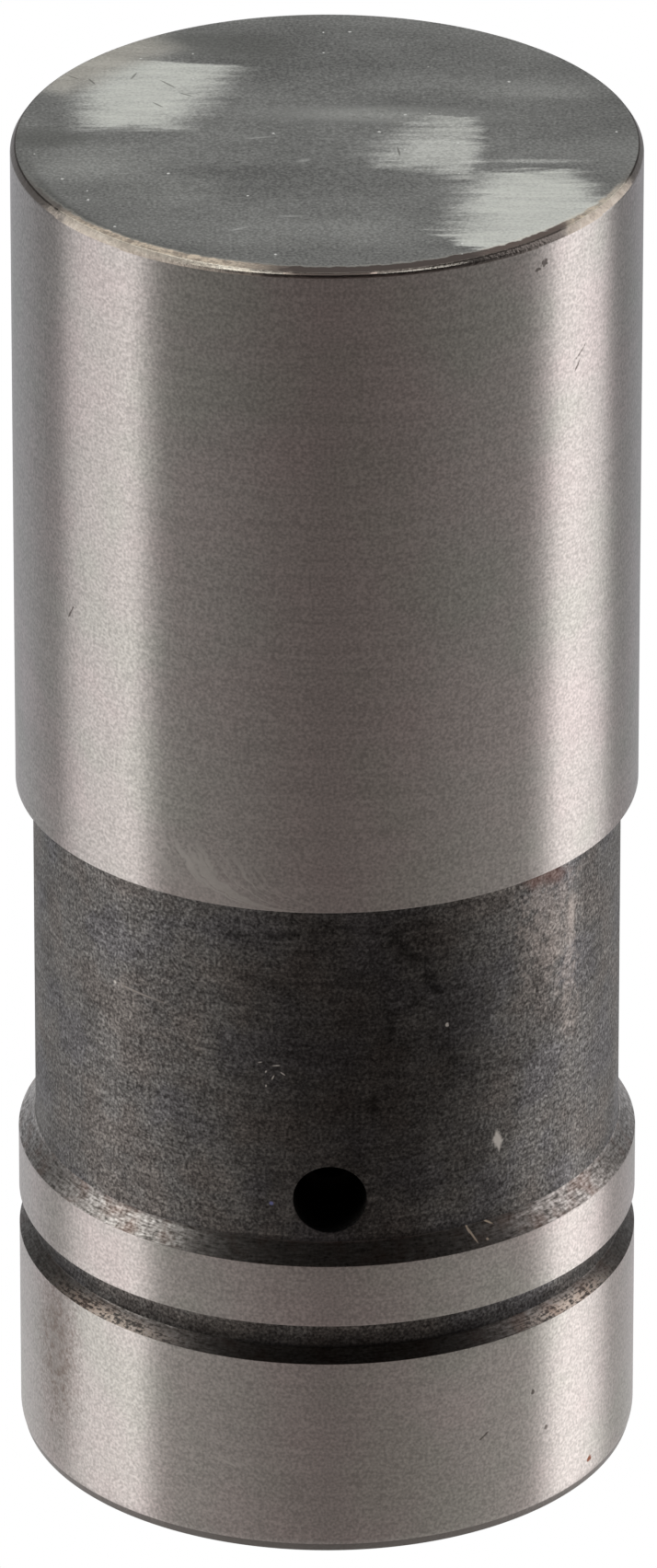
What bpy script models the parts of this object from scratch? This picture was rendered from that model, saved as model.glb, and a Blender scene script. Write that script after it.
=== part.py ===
"""Hydraulic valve lifter of an engine, standing on its open end with the cam foot up.

Lengths are in metres. +Z runs up the lifter's axis, and the origin is the middle of the open end's plane.
"""

import math

import bpy

MM = 0.001

# Outside of the body, heights up from the open end
BODY_RADIUS = 12.0 * MM
BODY_LENGTH = 54.4 * MM
MOUTH_CHAMFER_WIDTH = 0.25 * MM
MOUTH_CHAMFER_HEIGHT = 0.65 * MM
LOWER_BAND_TOP = 8.25 * MM
GROOVE_WIDTH = 1.65 * MM
GROOVE_DEPTH = 0.6 * MM
GROOVE_SLOPE_HEIGHT = 0.48 * MM
UPPER_BAND_WIDTH = 2.6 * MM
SHOULDER_HEIGHT = 0.75 * MM
WAIST_LENGTH = 14.45 * MM
WAIST_DEPTH = 0.667 * MM
FOOT_BREAK_WIDTH = 0.18 * MM
FOOT_BREAK_HEIGHT = 0.3 * MM
OIL_HOLE_RADIUS = 1.41 * MM
OIL_HOLE_ABOVE_SHOULDER = 1.8 * MM

# Bore of the body
BODY_WALL = 3.75 * MM
BORE_LEAD = 0.5 * MM
BORE_END_FILLET = 0.8 * MM
FOOT_THICKNESS = 8.6 * MM
OIL_RECESS_MARGIN = 0.7 * MM
OIL_RECESS_DEPTH = 0.4 * MM

# Gap left between pieces that rest on each other
SEATING_GAP = 0.05 * MM

# Retaining ring and its groove
RING_WIRE_RADIUS = 0.6 * MM
RING_HEIGHT = 2.4 * MM
RING_GROOVE_DEPTH = 0.65 * MM
RING_SIDE_PLAY = 0.08 * MM
RING_OPENING = math.radians(26)

# Pushrod seat
SEAT_WEB = 1.55 * MM
SEAT_CLEARANCE = 0.1 * MM
SEAT_EDGE = 0.3 * MM
SEAT_OIL_HOLE_RADIUS = 0.8 * MM
SOCKET_RADIUS = 4.05 * MM
SOCKET_CENTRE_DEPTH = 0.4 * MM
SOCKET_LEAD = 0.7 * MM

# Metering disc, loose in a pocket a little wider than the reservoir
DISC_THICKNESS = 0.5 * MM
DISC_HOLE_RADIUS = 0.35 * MM
DISC_LEDGE = 0.4 * MM
DISC_SIDE_PLAY = 0.15 * MM
DISC_LIFT = 0.35 * MM

# Plunger
PLUNGER_CLEARANCE = 0.06 * MM
PLUNGER_EDGE = 0.3 * MM
PLUNGER_GROOVE_MARGIN = 1.0 * MM
PLUNGER_GROOVE_DEPTH = 0.6 * MM
PLUNGER_OIL_HOLE_RADIUS = 1.0 * MM
PLUNGER_WALL = 2.69 * MM
RESERVOIR_CONE_HEIGHT = 1.2 * MM
PLUNGER_END_WALL = 2.4 * MM
PLUNGER_END_RIM = 0.9 * MM
PLUNGER_END_RECESS = 1.0 * MM
VALVE_SEAT_WIDTH = 0.6 * MM
VALVE_SEAT_ANGLE = math.radians(45)

# Check ball, its cage and its spring
BALL_RADIUS = 2.0 * MM
BALL_SPRING_WIRE_RADIUS = 0.14 * MM
BALL_SPRING_RADIUS = 1.15 * MM
BALL_SPRING_TURNS = 3.5
BALL_SPRING_OPEN_GAP = 0.37 * MM
CAGE_SHEET = 0.45 * MM
CAGE_BALL_PLAY = 0.55 * MM
CAGE_BEND_RADIUS = 0.6 * MM
CAGE_VENT_LEDGE = 0.15 * MM
CAGE_FLANGE_PLAY = 0.15 * MM
CAGE_WINDOWS = 3
CAGE_WINDOW_WIDTH = 2.2 * MM
CAGE_WINDOW_MARGIN = 0.55 * MM

# Plunger spring, as far compressed as it is between its seats
SPRING_WIRE_RADIUS = 0.6 * MM
SPRING_SIDE_PLAY = 0.3 * MM
SPRING_TURNS = 4.5
SPRING_OPEN_GAP = 1.6 * MM

# The end turns of both springs lie close together
CLOSED_TURNS = 0.9
CLOSED_GAP = 0.06 * MM

# Facets around the axis
FIT_SEGMENTS = 72
SMALL_SEGMENTS = 48
BALL_SEGMENTS = 24
HOLE_SEGMENTS = 24
SOCKET_STEPS = 9
BEND_STEPS = 3
RING_STEPS = 40
COIL_POINTS_PER_TURN = 20
SMALL_COIL_POINTS_PER_TURN = 14

# Heights of the outside
groove_top = LOWER_BAND_TOP + GROOVE_WIDTH
shoulder_bottom = groove_top + UPPER_BAND_WIDTH
waist_bottom = shoulder_bottom + SHOULDER_HEIGHT
waist_top = waist_bottom + WAIST_LENGTH
oil_height = waist_bottom + OIL_HOLE_ABOVE_SHOULDER

# Radii that follow from the body's wall and the fits
bore_radius = BODY_RADIUS - BODY_WALL
plunger_radius = bore_radius - PLUNGER_CLEARANCE
reservoir_radius = plunger_radius - PLUNGER_WALL
disc_pocket_radius = reservoir_radius + DISC_LEDGE
recess_radius = plunger_radius - PLUNGER_END_RIM
spring_radius = recess_radius - SPRING_SIDE_PLAY - SPRING_WIRE_RADIUS


def spring_height(turns, wire_radius, open_gap):
    """Height of a coil spring over its outer faces, closed turns at both ends."""
    closed_pitch = 2 * wire_radius + CLOSED_GAP
    open_pitch = 2 * wire_radius + open_gap
    return 2 * wire_radius + 2 * CLOSED_TURNS * closed_pitch + (turns - 2 * CLOSED_TURNS) * open_pitch


# Heights of the pieces inside, stacked up from the ring and down from the end of the bore
seat_height = SOCKET_CENTRE_DEPTH + SOCKET_RADIUS + SEAT_WEB
seat_bottom = RING_HEIGHT + RING_WIRE_RADIUS + SEATING_GAP
seat_top = seat_bottom + seat_height
plunger_bottom = seat_top + SEATING_GAP
bore_end = BODY_LENGTH - FOOT_THICKNESS
spring_top = bore_end - SEATING_GAP
spring_bottom = spring_top - spring_height(SPRING_TURNS, SPRING_WIRE_RADIUS, SPRING_OPEN_GAP)
flange_top = spring_bottom - SEATING_GAP
flange_bottom = flange_top - CAGE_SHEET
valve_face = flange_bottom - SEATING_GAP
plunger_top = valve_face + PLUNGER_END_RECESS

# The ball meets the middle of its conical seat, one seating gap away
seat_contact_radius = BALL_RADIUS * math.sin(VALVE_SEAT_ANGLE)
valve_hole_radius = seat_contact_radius - VALVE_SEAT_WIDTH / 2
valve_seat_radius = seat_contact_radius + VALVE_SEAT_WIDTH / 2
contact_height = valve_face - VALVE_SEAT_WIDTH / 2 * math.tan(VALVE_SEAT_ANGLE)
ball_above_contact = BALL_RADIUS * math.cos(VALVE_SEAT_ANGLE) + SEATING_GAP / math.cos(VALVE_SEAT_ANGLE)
ball_height = contact_height + ball_above_contact

# The ball's spring sits on its shoulder and reaches up to the crown of the cage
shoulder_reach = BALL_RADIUS + BALL_SPRING_WIRE_RADIUS + SEATING_GAP
shoulder_height = math.sqrt(shoulder_reach**2 - BALL_SPRING_RADIUS**2)
ball_spring_bottom = ball_height + shoulder_height - BALL_SPRING_WIRE_RADIUS
ball_spring_height = spring_height(BALL_SPRING_TURNS, BALL_SPRING_WIRE_RADIUS, BALL_SPRING_OPEN_GAP)
cage_top = ball_spring_bottom + ball_spring_height + SEATING_GAP + CAGE_SHEET


def clear_scene():
    """Removes what the scene held before."""
    for old in list(bpy.data.objects):
        bpy.data.objects.remove(old, do_unlink=True)


def new_collection(name):
    """Adds a collection to the scene."""
    made = bpy.data.collections.new(name)
    bpy.context.scene.collection.children.link(made)
    return made


def metal(name, colour, roughness):
    """Makes a metal for one piece."""
    made = bpy.data.materials.new(name)
    made.use_nodes = True
    shader = made.node_tree.nodes["Principled BSDF"]
    shader.inputs["Base Color"].default_value = (*colour, 1.0)
    shader.inputs["Roughness"].default_value = roughness
    shader.inputs["Metallic"].default_value = 1.0
    made.diffuse_color = (*colour, 1.0)
    return made


def arc(centre, radius, start, end, steps):
    """Points of a profile along an arc, angles in degrees from +X towards +Z."""
    points = []
    for step in range(steps + 1):
        angle = math.radians(start + (end - start) * step / steps)
        points.append((centre[0] + radius * math.cos(angle), centre[1] + radius * math.sin(angle)))
    return points


def turned(name, profile, segments, closed):
    """Turns a profile of (radius, height) points about the Z axis."""
    vertices = [(radius, 0.0, height) for radius, height in profile]
    edges = [(index, index + 1) for index in range(len(profile) - 1)]
    if closed:
        edges.append((len(profile) - 1, 0))
    mesh = bpy.data.meshes.new(name)
    mesh.from_pydata(vertices, edges, [])
    piece = bpy.data.objects.new(name, mesh)
    parts.objects.link(piece)
    screw = piece.modifiers.new("Turn", "SCREW")
    screw.axis = "Z"
    screw.angle = math.tau
    screw.steps = segments
    screw.render_steps = segments
    screw.use_merge_vertices = True
    screw.merge_threshold = 0.000001
    return piece


def cut(piece, cutter):
    """Takes a cutter's volume out of a piece."""
    for holder in list(cutter.users_collection):
        holder.objects.unlink(cutter)
    cutters.objects.link(cutter)
    cutter.hide_render = True
    cutter.display_type = "WIRE"
    boolean = piece.modifiers.new(cutter.name, "BOOLEAN")
    boolean.operation = "DIFFERENCE"
    boolean.solver = "EXACT"
    boolean.object = cutter


def settle(piece):
    """Applies a piece's modifiers and shades it smooth, with its corners sharp."""
    bpy.context.view_layer.update()
    evaluated = piece.evaluated_get(bpy.context.evaluated_depsgraph_get())
    mesh = bpy.data.meshes.new_from_object(evaluated)
    mesh.shade_smooth()
    mesh.set_sharp_from_angle(angle=math.radians(30))
    piece.modifiers.clear()
    piece.data = mesh
    mesh.name = piece.name


def front_drill(name, radius, height):
    """A drill that enters from -Y and stops at the axis, inside the bore."""
    length = BODY_RADIUS + radius
    bpy.ops.mesh.primitive_cylinder_add(
        vertices=HOLE_SEGMENTS,
        radius=radius,
        depth=length,
        location=(0.0, -length / 2, height),
        rotation=(math.pi / 2, 0.0, 0.0),
    )
    drill = bpy.context.object
    drill.name = name
    return drill


def wire(name, points, wire_radius):
    """A round wire along a list of points, with closed ends."""
    curve = bpy.data.curves.new(name, "CURVE")
    curve.dimensions = "3D"
    curve.bevel_depth = wire_radius
    curve.bevel_resolution = 2
    curve.use_fill_caps = True
    spline = curve.splines.new("POLY")
    spline.points.add(len(points) - 1)
    for target, point in zip(spline.points, points):
        target.co = (*point, 1.0)
    spline.use_smooth = True
    piece = bpy.data.objects.new(name, curve)
    parts.objects.link(piece)
    return piece


def coil(name, radius, wire_radius, turns, open_gap, points_per_turn):
    """A compression spring that stands on its first turn, closed turns at both ends."""
    closed_pitch = 2 * wire_radius + CLOSED_GAP
    open_pitch = 2 * wire_radius + open_gap
    count = round(turns * points_per_turn)
    points = []
    for index in range(count + 1):
        turn = turns * index / count
        open_turn = min(max(turn - CLOSED_TURNS, 0.0), turns - 2 * CLOSED_TURNS)
        height = wire_radius + open_turn * open_pitch + (turn - open_turn) * closed_pitch
        angle = turn * math.tau
        points.append((radius * math.cos(angle), radius * math.sin(angle), height))
    return wire(name, points, wire_radius)


def make_body():
    """The body: ground foot end, waist, shoulder, two bands, and the bore with its grooves."""
    waist_radius = BODY_RADIUS - WAIST_DEPTH
    groove_radius = BODY_RADIUS - GROOVE_DEPTH
    ring_groove_radius = bore_radius + RING_GROOVE_DEPTH
    ring_groove_half = RING_WIRE_RADIUS + RING_SIDE_PLAY
    oil_recess_radius = bore_radius + OIL_RECESS_DEPTH
    recess_half = OIL_HOLE_RADIUS + OIL_RECESS_MARGIN
    outside = [
        (0.0, BODY_LENGTH),
        (BODY_RADIUS - FOOT_BREAK_WIDTH, BODY_LENGTH),
        (BODY_RADIUS, BODY_LENGTH - FOOT_BREAK_HEIGHT),
        (BODY_RADIUS, waist_top),
        (waist_radius, waist_top),
        (waist_radius, waist_bottom),
        (BODY_RADIUS, shoulder_bottom),
        (BODY_RADIUS, groove_top),
        (groove_radius, groove_top),
        (groove_radius, LOWER_BAND_TOP + GROOVE_SLOPE_HEIGHT),
        (BODY_RADIUS, LOWER_BAND_TOP),
        (BODY_RADIUS, MOUTH_CHAMFER_HEIGHT),
        (BODY_RADIUS - MOUTH_CHAMFER_WIDTH, 0.0),
    ]
    mouth_and_ring_groove = [
        (bore_radius + BORE_LEAD, 0.0),
        (bore_radius, BORE_LEAD),
        (bore_radius, RING_HEIGHT - ring_groove_half),
        (ring_groove_radius, RING_HEIGHT - ring_groove_half),
        (ring_groove_radius, RING_HEIGHT + ring_groove_half),
        (bore_radius, RING_HEIGHT + ring_groove_half),
    ]
    oil_recess = [
        (bore_radius, oil_height - recess_half),
        (oil_recess_radius, oil_height - recess_half + OIL_RECESS_DEPTH),
        (oil_recess_radius, oil_height + recess_half - OIL_RECESS_DEPTH),
        (bore_radius, oil_height + recess_half),
    ]
    fillet_centre = (bore_radius - BORE_END_FILLET, bore_end - BORE_END_FILLET)
    closed_end = arc(fillet_centre, BORE_END_FILLET, 0, 90, BEND_STEPS) + [(0.0, bore_end)]
    profile = outside + mouth_and_ring_groove + oil_recess + closed_end
    body = turned("lifter_body", profile, FIT_SEGMENTS, closed=False)
    body.data.materials.append(metal("ground_steel", (0.36, 0.34, 0.32), 0.3))
    cut(body, front_drill("oil_hole_drill", OIL_HOLE_RADIUS, oil_height))
    settle(body)


def make_ring():
    """The open wire ring that keeps the pieces in the bore."""
    outer_radius = bore_radius + RING_GROOVE_DEPTH - SEATING_GAP
    radius = outer_radius - RING_WIRE_RADIUS
    points = []
    sweep = math.tau - RING_OPENING
    for index in range(RING_STEPS + 1):
        angle = RING_OPENING / 2 + sweep * index / RING_STEPS
        points.append((radius * math.cos(angle), radius * math.sin(angle), 0.0))
    ring = wire("retaining_ring", points, RING_WIRE_RADIUS)
    ring.location.z = RING_HEIGHT
    ring.data.materials.append(metal("spring_wire", (0.3, 0.29, 0.28), 0.35))


def make_plunger_spring():
    """The spring that holds the plunger against the ring."""
    spring = coil(
        "plunger_spring",
        spring_radius,
        SPRING_WIRE_RADIUS,
        SPRING_TURNS,
        SPRING_OPEN_GAP,
        COIL_POINTS_PER_TURN,
    )
    spring.location.z = spring_bottom
    spring.data.materials.append(metal("oiled_spring_steel", (0.22, 0.21, 0.2), 0.4))


def make_pushrod_seat(carrier):
    """The cup that the pushrod's ball end turns in, with its socket facing the mouth."""
    radius = bore_radius - SEAT_CLEARANCE
    centre = (0.0, SOCKET_CENTRE_DEPTH)
    hole_angle = math.degrees(math.acos(SEAT_OIL_HOLE_RADIUS / SOCKET_RADIUS))
    profile = [
        (SEAT_OIL_HOLE_RADIUS, seat_height),
        (radius - SEAT_EDGE, seat_height),
        (radius, seat_height - SEAT_EDGE),
        (radius, SEAT_EDGE),
        (radius - SEAT_EDGE, 0.0),
        (SOCKET_RADIUS + SOCKET_LEAD, 0.0),
    ]
    profile += arc(centre, SOCKET_RADIUS, 0, hole_angle, SOCKET_STEPS)
    seat = turned("pushrod_seat", profile, FIT_SEGMENTS, closed=True)
    seat.parent = carrier
    seat.location.z = seat_bottom - plunger_bottom
    seat.data.materials.append(metal("hardened_seat_steel", (0.42, 0.41, 0.4), 0.25))
    settle(seat)


def make_metering_disc(carrier):
    """The loose disc that meters oil from the plunger to the pushrod seat."""
    radius = disc_pocket_radius - DISC_SIDE_PLAY
    profile = [
        (DISC_HOLE_RADIUS, DISC_THICKNESS),
        (radius, DISC_THICKNESS),
        (radius, 0.0),
        (DISC_HOLE_RADIUS, 0.0),
    ]
    disc = turned("metering_disc", profile, SMALL_SEGMENTS, closed=True)
    disc.parent = carrier
    disc.data.materials.append(metal("stamped_strip", (0.5, 0.49, 0.47), 0.3))
    settle(disc)


def make_plunger(carrier):
    """The hollow plunger, open towards the pushrod seat, with the valve seat in its end wall."""
    height = plunger_top - plunger_bottom
    face = valve_face - plunger_bottom
    reservoir_end = face - PLUNGER_END_WALL
    groove_middle = oil_height - plunger_bottom
    groove_half = PLUNGER_OIL_HOLE_RADIUS + PLUNGER_GROOVE_MARGIN + PLUNGER_GROOVE_DEPTH
    groove_radius = plunger_radius - PLUNGER_GROOVE_DEPTH
    pocket_depth = DISC_THICKNESS + DISC_LIFT
    valve_seat_depth = VALVE_SEAT_WIDTH * math.tan(VALVE_SEAT_ANGLE)
    outside = [
        (recess_radius, height),
        (plunger_radius - PLUNGER_EDGE, height),
        (plunger_radius, height - PLUNGER_EDGE),
        (plunger_radius, groove_middle + groove_half),
        (groove_radius, groove_middle + groove_half - PLUNGER_GROOVE_DEPTH),
        (groove_radius, groove_middle - groove_half + PLUNGER_GROOVE_DEPTH),
        (plunger_radius, groove_middle - groove_half),
        (plunger_radius, PLUNGER_EDGE),
        (plunger_radius - PLUNGER_EDGE, 0.0),
    ]
    inside = [
        (disc_pocket_radius, 0.0),
        (disc_pocket_radius, pocket_depth),
        (reservoir_radius, pocket_depth),
        (reservoir_radius, reservoir_end - RESERVOIR_CONE_HEIGHT),
        (valve_hole_radius, reservoir_end),
        (valve_hole_radius, face - valve_seat_depth),
        (valve_seat_radius, face),
        (recess_radius, face),
    ]
    plunger = turned("plunger", outside + inside, FIT_SEGMENTS, closed=True)
    plunger.parent = carrier
    plunger.data.materials.append(metal("lapped_steel", (0.48, 0.47, 0.45), 0.22))
    cut(plunger, front_drill("plunger_oil_drill", PLUNGER_OIL_HOLE_RADIUS, oil_height))
    settle(plunger)


def make_cage(carrier):
    """The stamped hat over the ball: an open sheet profile, thickened, with windows in its wall."""
    half_sheet = CAGE_SHEET / 2
    wall_radius = BALL_RADIUS + CAGE_BALL_PLAY + half_sheet
    crown = cage_top - flange_bottom - half_sheet
    vent_radius = BALL_SPRING_RADIUS - BALL_SPRING_WIRE_RADIUS - CAGE_VENT_LEDGE
    wall_top = crown - CAGE_BEND_RADIUS
    wall_bottom = half_sheet + CAGE_BEND_RADIUS
    profile = [(vent_radius, crown)]
    profile += arc((wall_radius - CAGE_BEND_RADIUS, wall_top), CAGE_BEND_RADIUS, 90, 0, BEND_STEPS)
    profile += arc((wall_radius + CAGE_BEND_RADIUS, wall_bottom), CAGE_BEND_RADIUS, 180, 270, BEND_STEPS)
    profile += [(recess_radius - CAGE_FLANGE_PLAY, half_sheet)]
    cage = turned("check_ball_cage", profile, SMALL_SEGMENTS, closed=False)
    cage.parent = carrier
    cage.location.z = flange_bottom - plunger_bottom
    cage.data.materials.append(metal("stamped_sheet", (0.4, 0.38, 0.34), 0.35))
    sheet = cage.modifiers.new("Sheet", "SOLIDIFY")
    sheet.thickness = CAGE_SHEET
    sheet.offset = 0.0
    sheet.use_even_offset = True
    window_height = wall_top - wall_bottom - 2 * CAGE_WINDOW_MARGIN
    window_middle = flange_bottom + (wall_top + wall_bottom) / 2
    for index in range(CAGE_WINDOWS):
        angle = math.pi / 2 + index * math.tau / CAGE_WINDOWS
        bpy.ops.mesh.primitive_cube_add(
            size=1.0,
            location=(wall_radius * math.cos(angle), wall_radius * math.sin(angle), window_middle),
            rotation=(0.0, 0.0, angle),
        )
        punch = bpy.context.object
        punch.name = f"cage_window_punch_{index + 1}"
        punch.scale = (2 * CAGE_BALL_PLAY + CAGE_SHEET, CAGE_WINDOW_WIDTH, window_height)
        cut(cage, punch)
    settle(cage)


def make_ball(carrier):
    """The check ball on its seat."""
    bpy.ops.mesh.primitive_uv_sphere_add(
        segments=BALL_SEGMENTS,
        ring_count=BALL_SEGMENTS // 2,
        radius=BALL_RADIUS,
    )
    ball = bpy.context.object
    ball.name = "check_ball"
    ball.data.name = ball.name
    for holder in list(ball.users_collection):
        holder.objects.unlink(ball)
    parts.objects.link(ball)
    ball.parent = carrier
    ball.location.z = ball_height - plunger_bottom
    ball.data.materials.append(metal("bearing_steel", (0.6, 0.59, 0.58), 0.1))
    ball.data.shade_smooth()


def make_ball_spring(carrier):
    """The light spring between the ball's shoulder and the crown of the cage."""
    spring = coil(
        "check_ball_spring",
        BALL_SPRING_RADIUS,
        BALL_SPRING_WIRE_RADIUS,
        BALL_SPRING_TURNS,
        BALL_SPRING_OPEN_GAP,
        SMALL_COIL_POINTS_PER_TURN,
    )
    spring.parent = carrier
    spring.location.z = ball_spring_bottom - plunger_bottom
    spring.data.materials.append(metal("fine_spring_wire", (0.5, 0.48, 0.45), 0.3))


clear_scene()
parts = new_collection("valve_lifter")
cutters = new_collection("valve_lifter_cutters")

# The plunger and what travels with it hang on one empty at the plunger's open end
assembly = bpy.data.objects.new("plunger_assembly", None)
assembly.location.z = plunger_bottom
assembly.empty_display_size = bore_radius
parts.objects.link(assembly)

make_body()
make_ring()
make_plunger_spring()
make_pushrod_seat(assembly)
make_metering_disc(assembly)
make_plunger(assembly)
make_cage(assembly)
make_ball(assembly)
make_ball_spring(assembly)
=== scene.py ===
"""A hydraulic valve lifter standing on its open end, foot up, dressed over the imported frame.

The axis is Z and the oil hole faces -Y. The camera's and the studio's lengths are in metres, the pieces' in
millimetres, which MM turns into metres.
"""

import math

import bmesh
import bpy
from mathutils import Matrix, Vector


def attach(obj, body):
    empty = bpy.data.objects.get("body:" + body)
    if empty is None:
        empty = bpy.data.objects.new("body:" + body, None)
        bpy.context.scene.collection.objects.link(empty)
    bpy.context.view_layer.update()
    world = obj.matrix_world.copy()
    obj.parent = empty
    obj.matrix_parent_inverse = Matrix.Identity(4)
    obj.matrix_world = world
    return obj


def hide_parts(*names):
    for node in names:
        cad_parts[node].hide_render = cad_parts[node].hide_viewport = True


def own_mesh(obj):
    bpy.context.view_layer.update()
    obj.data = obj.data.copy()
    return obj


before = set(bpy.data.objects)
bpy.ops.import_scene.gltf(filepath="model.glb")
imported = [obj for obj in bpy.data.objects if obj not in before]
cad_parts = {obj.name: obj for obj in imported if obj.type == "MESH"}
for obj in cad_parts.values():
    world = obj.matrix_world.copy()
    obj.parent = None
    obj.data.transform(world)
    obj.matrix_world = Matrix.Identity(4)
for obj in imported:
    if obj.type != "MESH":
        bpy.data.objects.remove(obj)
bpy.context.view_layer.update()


# Camera: a long lens most of a metre away, looking down on the foot. Its shift only takes up the photograph's
# framing, and its small turn puts the oil hole where the photograph has it.
CAMERA_DISTANCE = 0.6518
CAMERA_ELEVATION = math.radians(26.6)
CAMERA_TURN = math.radians(-0.6)
CAMERA_AIM = Vector((0.0, 0.0, 0.02718))
CAMERA_LENS = 388.2
CAMERA_SHIFT = 0.001
level_reach = CAMERA_DISTANCE * math.cos(CAMERA_ELEVATION)
camera_offset = Vector((
    level_reach * math.sin(CAMERA_TURN),
    -level_reach * math.cos(CAMERA_TURN),
    CAMERA_DISTANCE * math.sin(CAMERA_ELEVATION),
))
bpy.ops.object.camera_add(
    location=CAMERA_AIM + camera_offset,
    rotation=(math.pi / 2 - CAMERA_ELEVATION, 0.0, CAMERA_TURN),
)
camera = bpy.context.object
camera.name = "camera"
camera.data.lens = CAMERA_LENS
camera.data.shift_x = CAMERA_SHIFT
bpy.context.scene.camera = camera


# Table and studio: a pale light table that glows evenly to the camera and faintly to the steel, and tall strip
# softboxes to the left and the right that reach below the table's edge. Of two small panels, a dull patch of the foot
# catches the high one behind, and the foot's broken edge the one on the left. The room is dim in front, paler behind.
TABLE_SIZE = 4.0
TABLE_DROP = 0.00002
TABLE_GLOW = 0.11
TABLE_GLOW_REACH = 0.13
TABLE_SIDE_GAIN = 3.1
STRIP_REACH = 0.55
STRIP_HEIGHT = 0.13
STRIP_LENGTH = 1.22
STRIP_COLOUR = "#fff9f7"
PANEL_AIM = 0.054
PANEL_COLOUR = "#fdfff9"


def hex_linear(code):
    """Linear colour of an sRGB hex value."""
    channels = [int(code[index : index + 2], 16) / 255 for index in (1, 3, 5)]
    linear = [c / 12.92 if c <= 0.04045 else ((c + 0.055) / 1.055) ** 2.4 for c in channels]
    return (*linear, 1.0)


def fill_sockets(tree, node, sockets):
    """Gives each named socket of a node its value, or the output that feeds it."""
    for name, value in sockets.items():
        if isinstance(value, bpy.types.NodeSocket):
            tree.links.new(value, node.inputs[name])
        else:
            node.inputs[name].default_value = value


def add_node(tree, kind, sockets=None, stops=(), out=0, **settings):
    """Adds a node with its settings and what its sockets take, and returns the output named, or all if out is None.

    The stops of a ramp are places and hex colours.
    """
    node = tree.nodes.new(kind)
    for name, value in settings.items():
        setattr(node, name, value)
    if stops:
        ramp = node.color_ramp
        ramp.interpolation = "EASE"
        while len(ramp.elements) < len(stops):
            ramp.elements.new(0.5)
        for element, (position, code) in zip(ramp.elements, stops):
            element.position = position
            element.color = hex_linear(code)
    fill_sockets(tree, node, sockets or {})
    return node.outputs if out is None else node.outputs[out]


def add_softbox(name, bearing, reach, height, aim, size, radiance, colour):
    """A rectangular light that faces the axis at the height aim; bearing runs anticlockwise from the camera's side."""
    place = Vector((reach * math.sin(bearing), -reach * math.cos(bearing), height))
    facing = (Vector((0.0, 0.0, aim)) - place).to_track_quat("-Z", "Y").to_euler()
    bpy.ops.object.light_add(type="AREA", location=place, rotation=facing)
    light = bpy.context.object
    light.name = name
    light.data.shape = "RECTANGLE"
    light.data.size, light.data.size_y = size
    light.data.energy = radiance * math.pi * size[0] * size[1]
    light.data.color = hex_linear(colour)[:3]
    light.visible_camera = False


bpy.ops.object.select_all(action="DESELECT")
bpy.ops.mesh.primitive_plane_add(size=TABLE_SIZE, location=(0.0, 0.0, -TABLE_DROP))
table = bpy.context.object
table.name = "light_table"
glow = bpy.data.materials.new("white_light_table")
glow.use_nodes = True
glow_tree = glow.node_tree
glow_tree.nodes.clear()
table_place = add_node(glow_tree, "ShaderNodeTexCoord", out="Object")
from_lifter = add_node(glow_tree, "ShaderNodeVectorMath", {0: table_place}, operation="LENGTH", out="Value")
near_glow = add_node(glow_tree, "ShaderNodeMapRange", {
    "Value": from_lifter, "From Min": 0.01, "From Max": TABLE_GLOW_REACH, "To Min": TABLE_GLOW, "To Max": 0.0,
})
to_one_side = add_node(glow_tree, "ShaderNodeVectorMath", {0: table_place}, operation="NORMALIZE")
to_one_side = add_node(glow_tree, "ShaderNodeSeparateXYZ", {"Vector": to_one_side}, out="X")
to_one_side = add_node(glow_tree, "ShaderNodeMath", {0: to_one_side}, operation="ABSOLUTE")
side_gain = add_node(glow_tree, "ShaderNodeMapRange", {
    "Value": to_one_side, "To Min": 0.9, "To Max": TABLE_SIDE_GAIN,
})
near_glow = add_node(glow_tree, "ShaderNodeMath", {0: near_glow, 1: side_gain}, operation="MULTIPLY")
faint = add_node(glow_tree, "ShaderNodeEmission", {"Color": hex_linear("#fff6ee"), "Strength": near_glow})
through = add_node(glow_tree, "ShaderNodeBsdfTransparent")
to_steel = add_node(glow_tree, "ShaderNodeAddShader", {0: faint, 1: through})
to_camera = add_node(glow_tree, "ShaderNodeEmission", {"Color": hex_linear("#ffffff"), "Strength": 1.0})
table_seen = add_node(glow_tree, "ShaderNodeLightPath", out="Is Camera Ray")
table_mix = add_node(glow_tree, "ShaderNodeMixShader", {"Fac": table_seen, 1: to_steel, 2: to_camera})
add_node(glow_tree, "ShaderNodeOutputMaterial", {"Surface": table_mix}, out=None)
glow.cycles.emission_sampling = "NONE"
table.data.materials.append(glow)
table.visible_shadow = False

for strip_name, bearing, width, radiance in (
    ("left_strip", -88.2, 0.375, 0.7),
    ("left_strip_bright_edge", -75.0, 0.1, 0.27),
    ("right_strip", 102.6, 0.3, 1.22),
):
    add_softbox(
        strip_name, math.radians(bearing), STRIP_REACH, STRIP_HEIGHT, STRIP_HEIGHT, (width, STRIP_LENGTH), radiance,
        STRIP_COLOUR,
    )
for panel_name, bearing, reach, height, size, radiance in (
    ("high_back_panel", 180.0, 0.3, 0.65, (0.35, 0.35), 3.6),
    ("left_upper_panel", -81.0, 0.5, 0.29, (0.3, 0.14), 1.4),
):
    add_softbox(panel_name, math.radians(bearing), reach, height, PANEL_AIM, size, radiance, PANEL_COLOUR)

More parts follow.
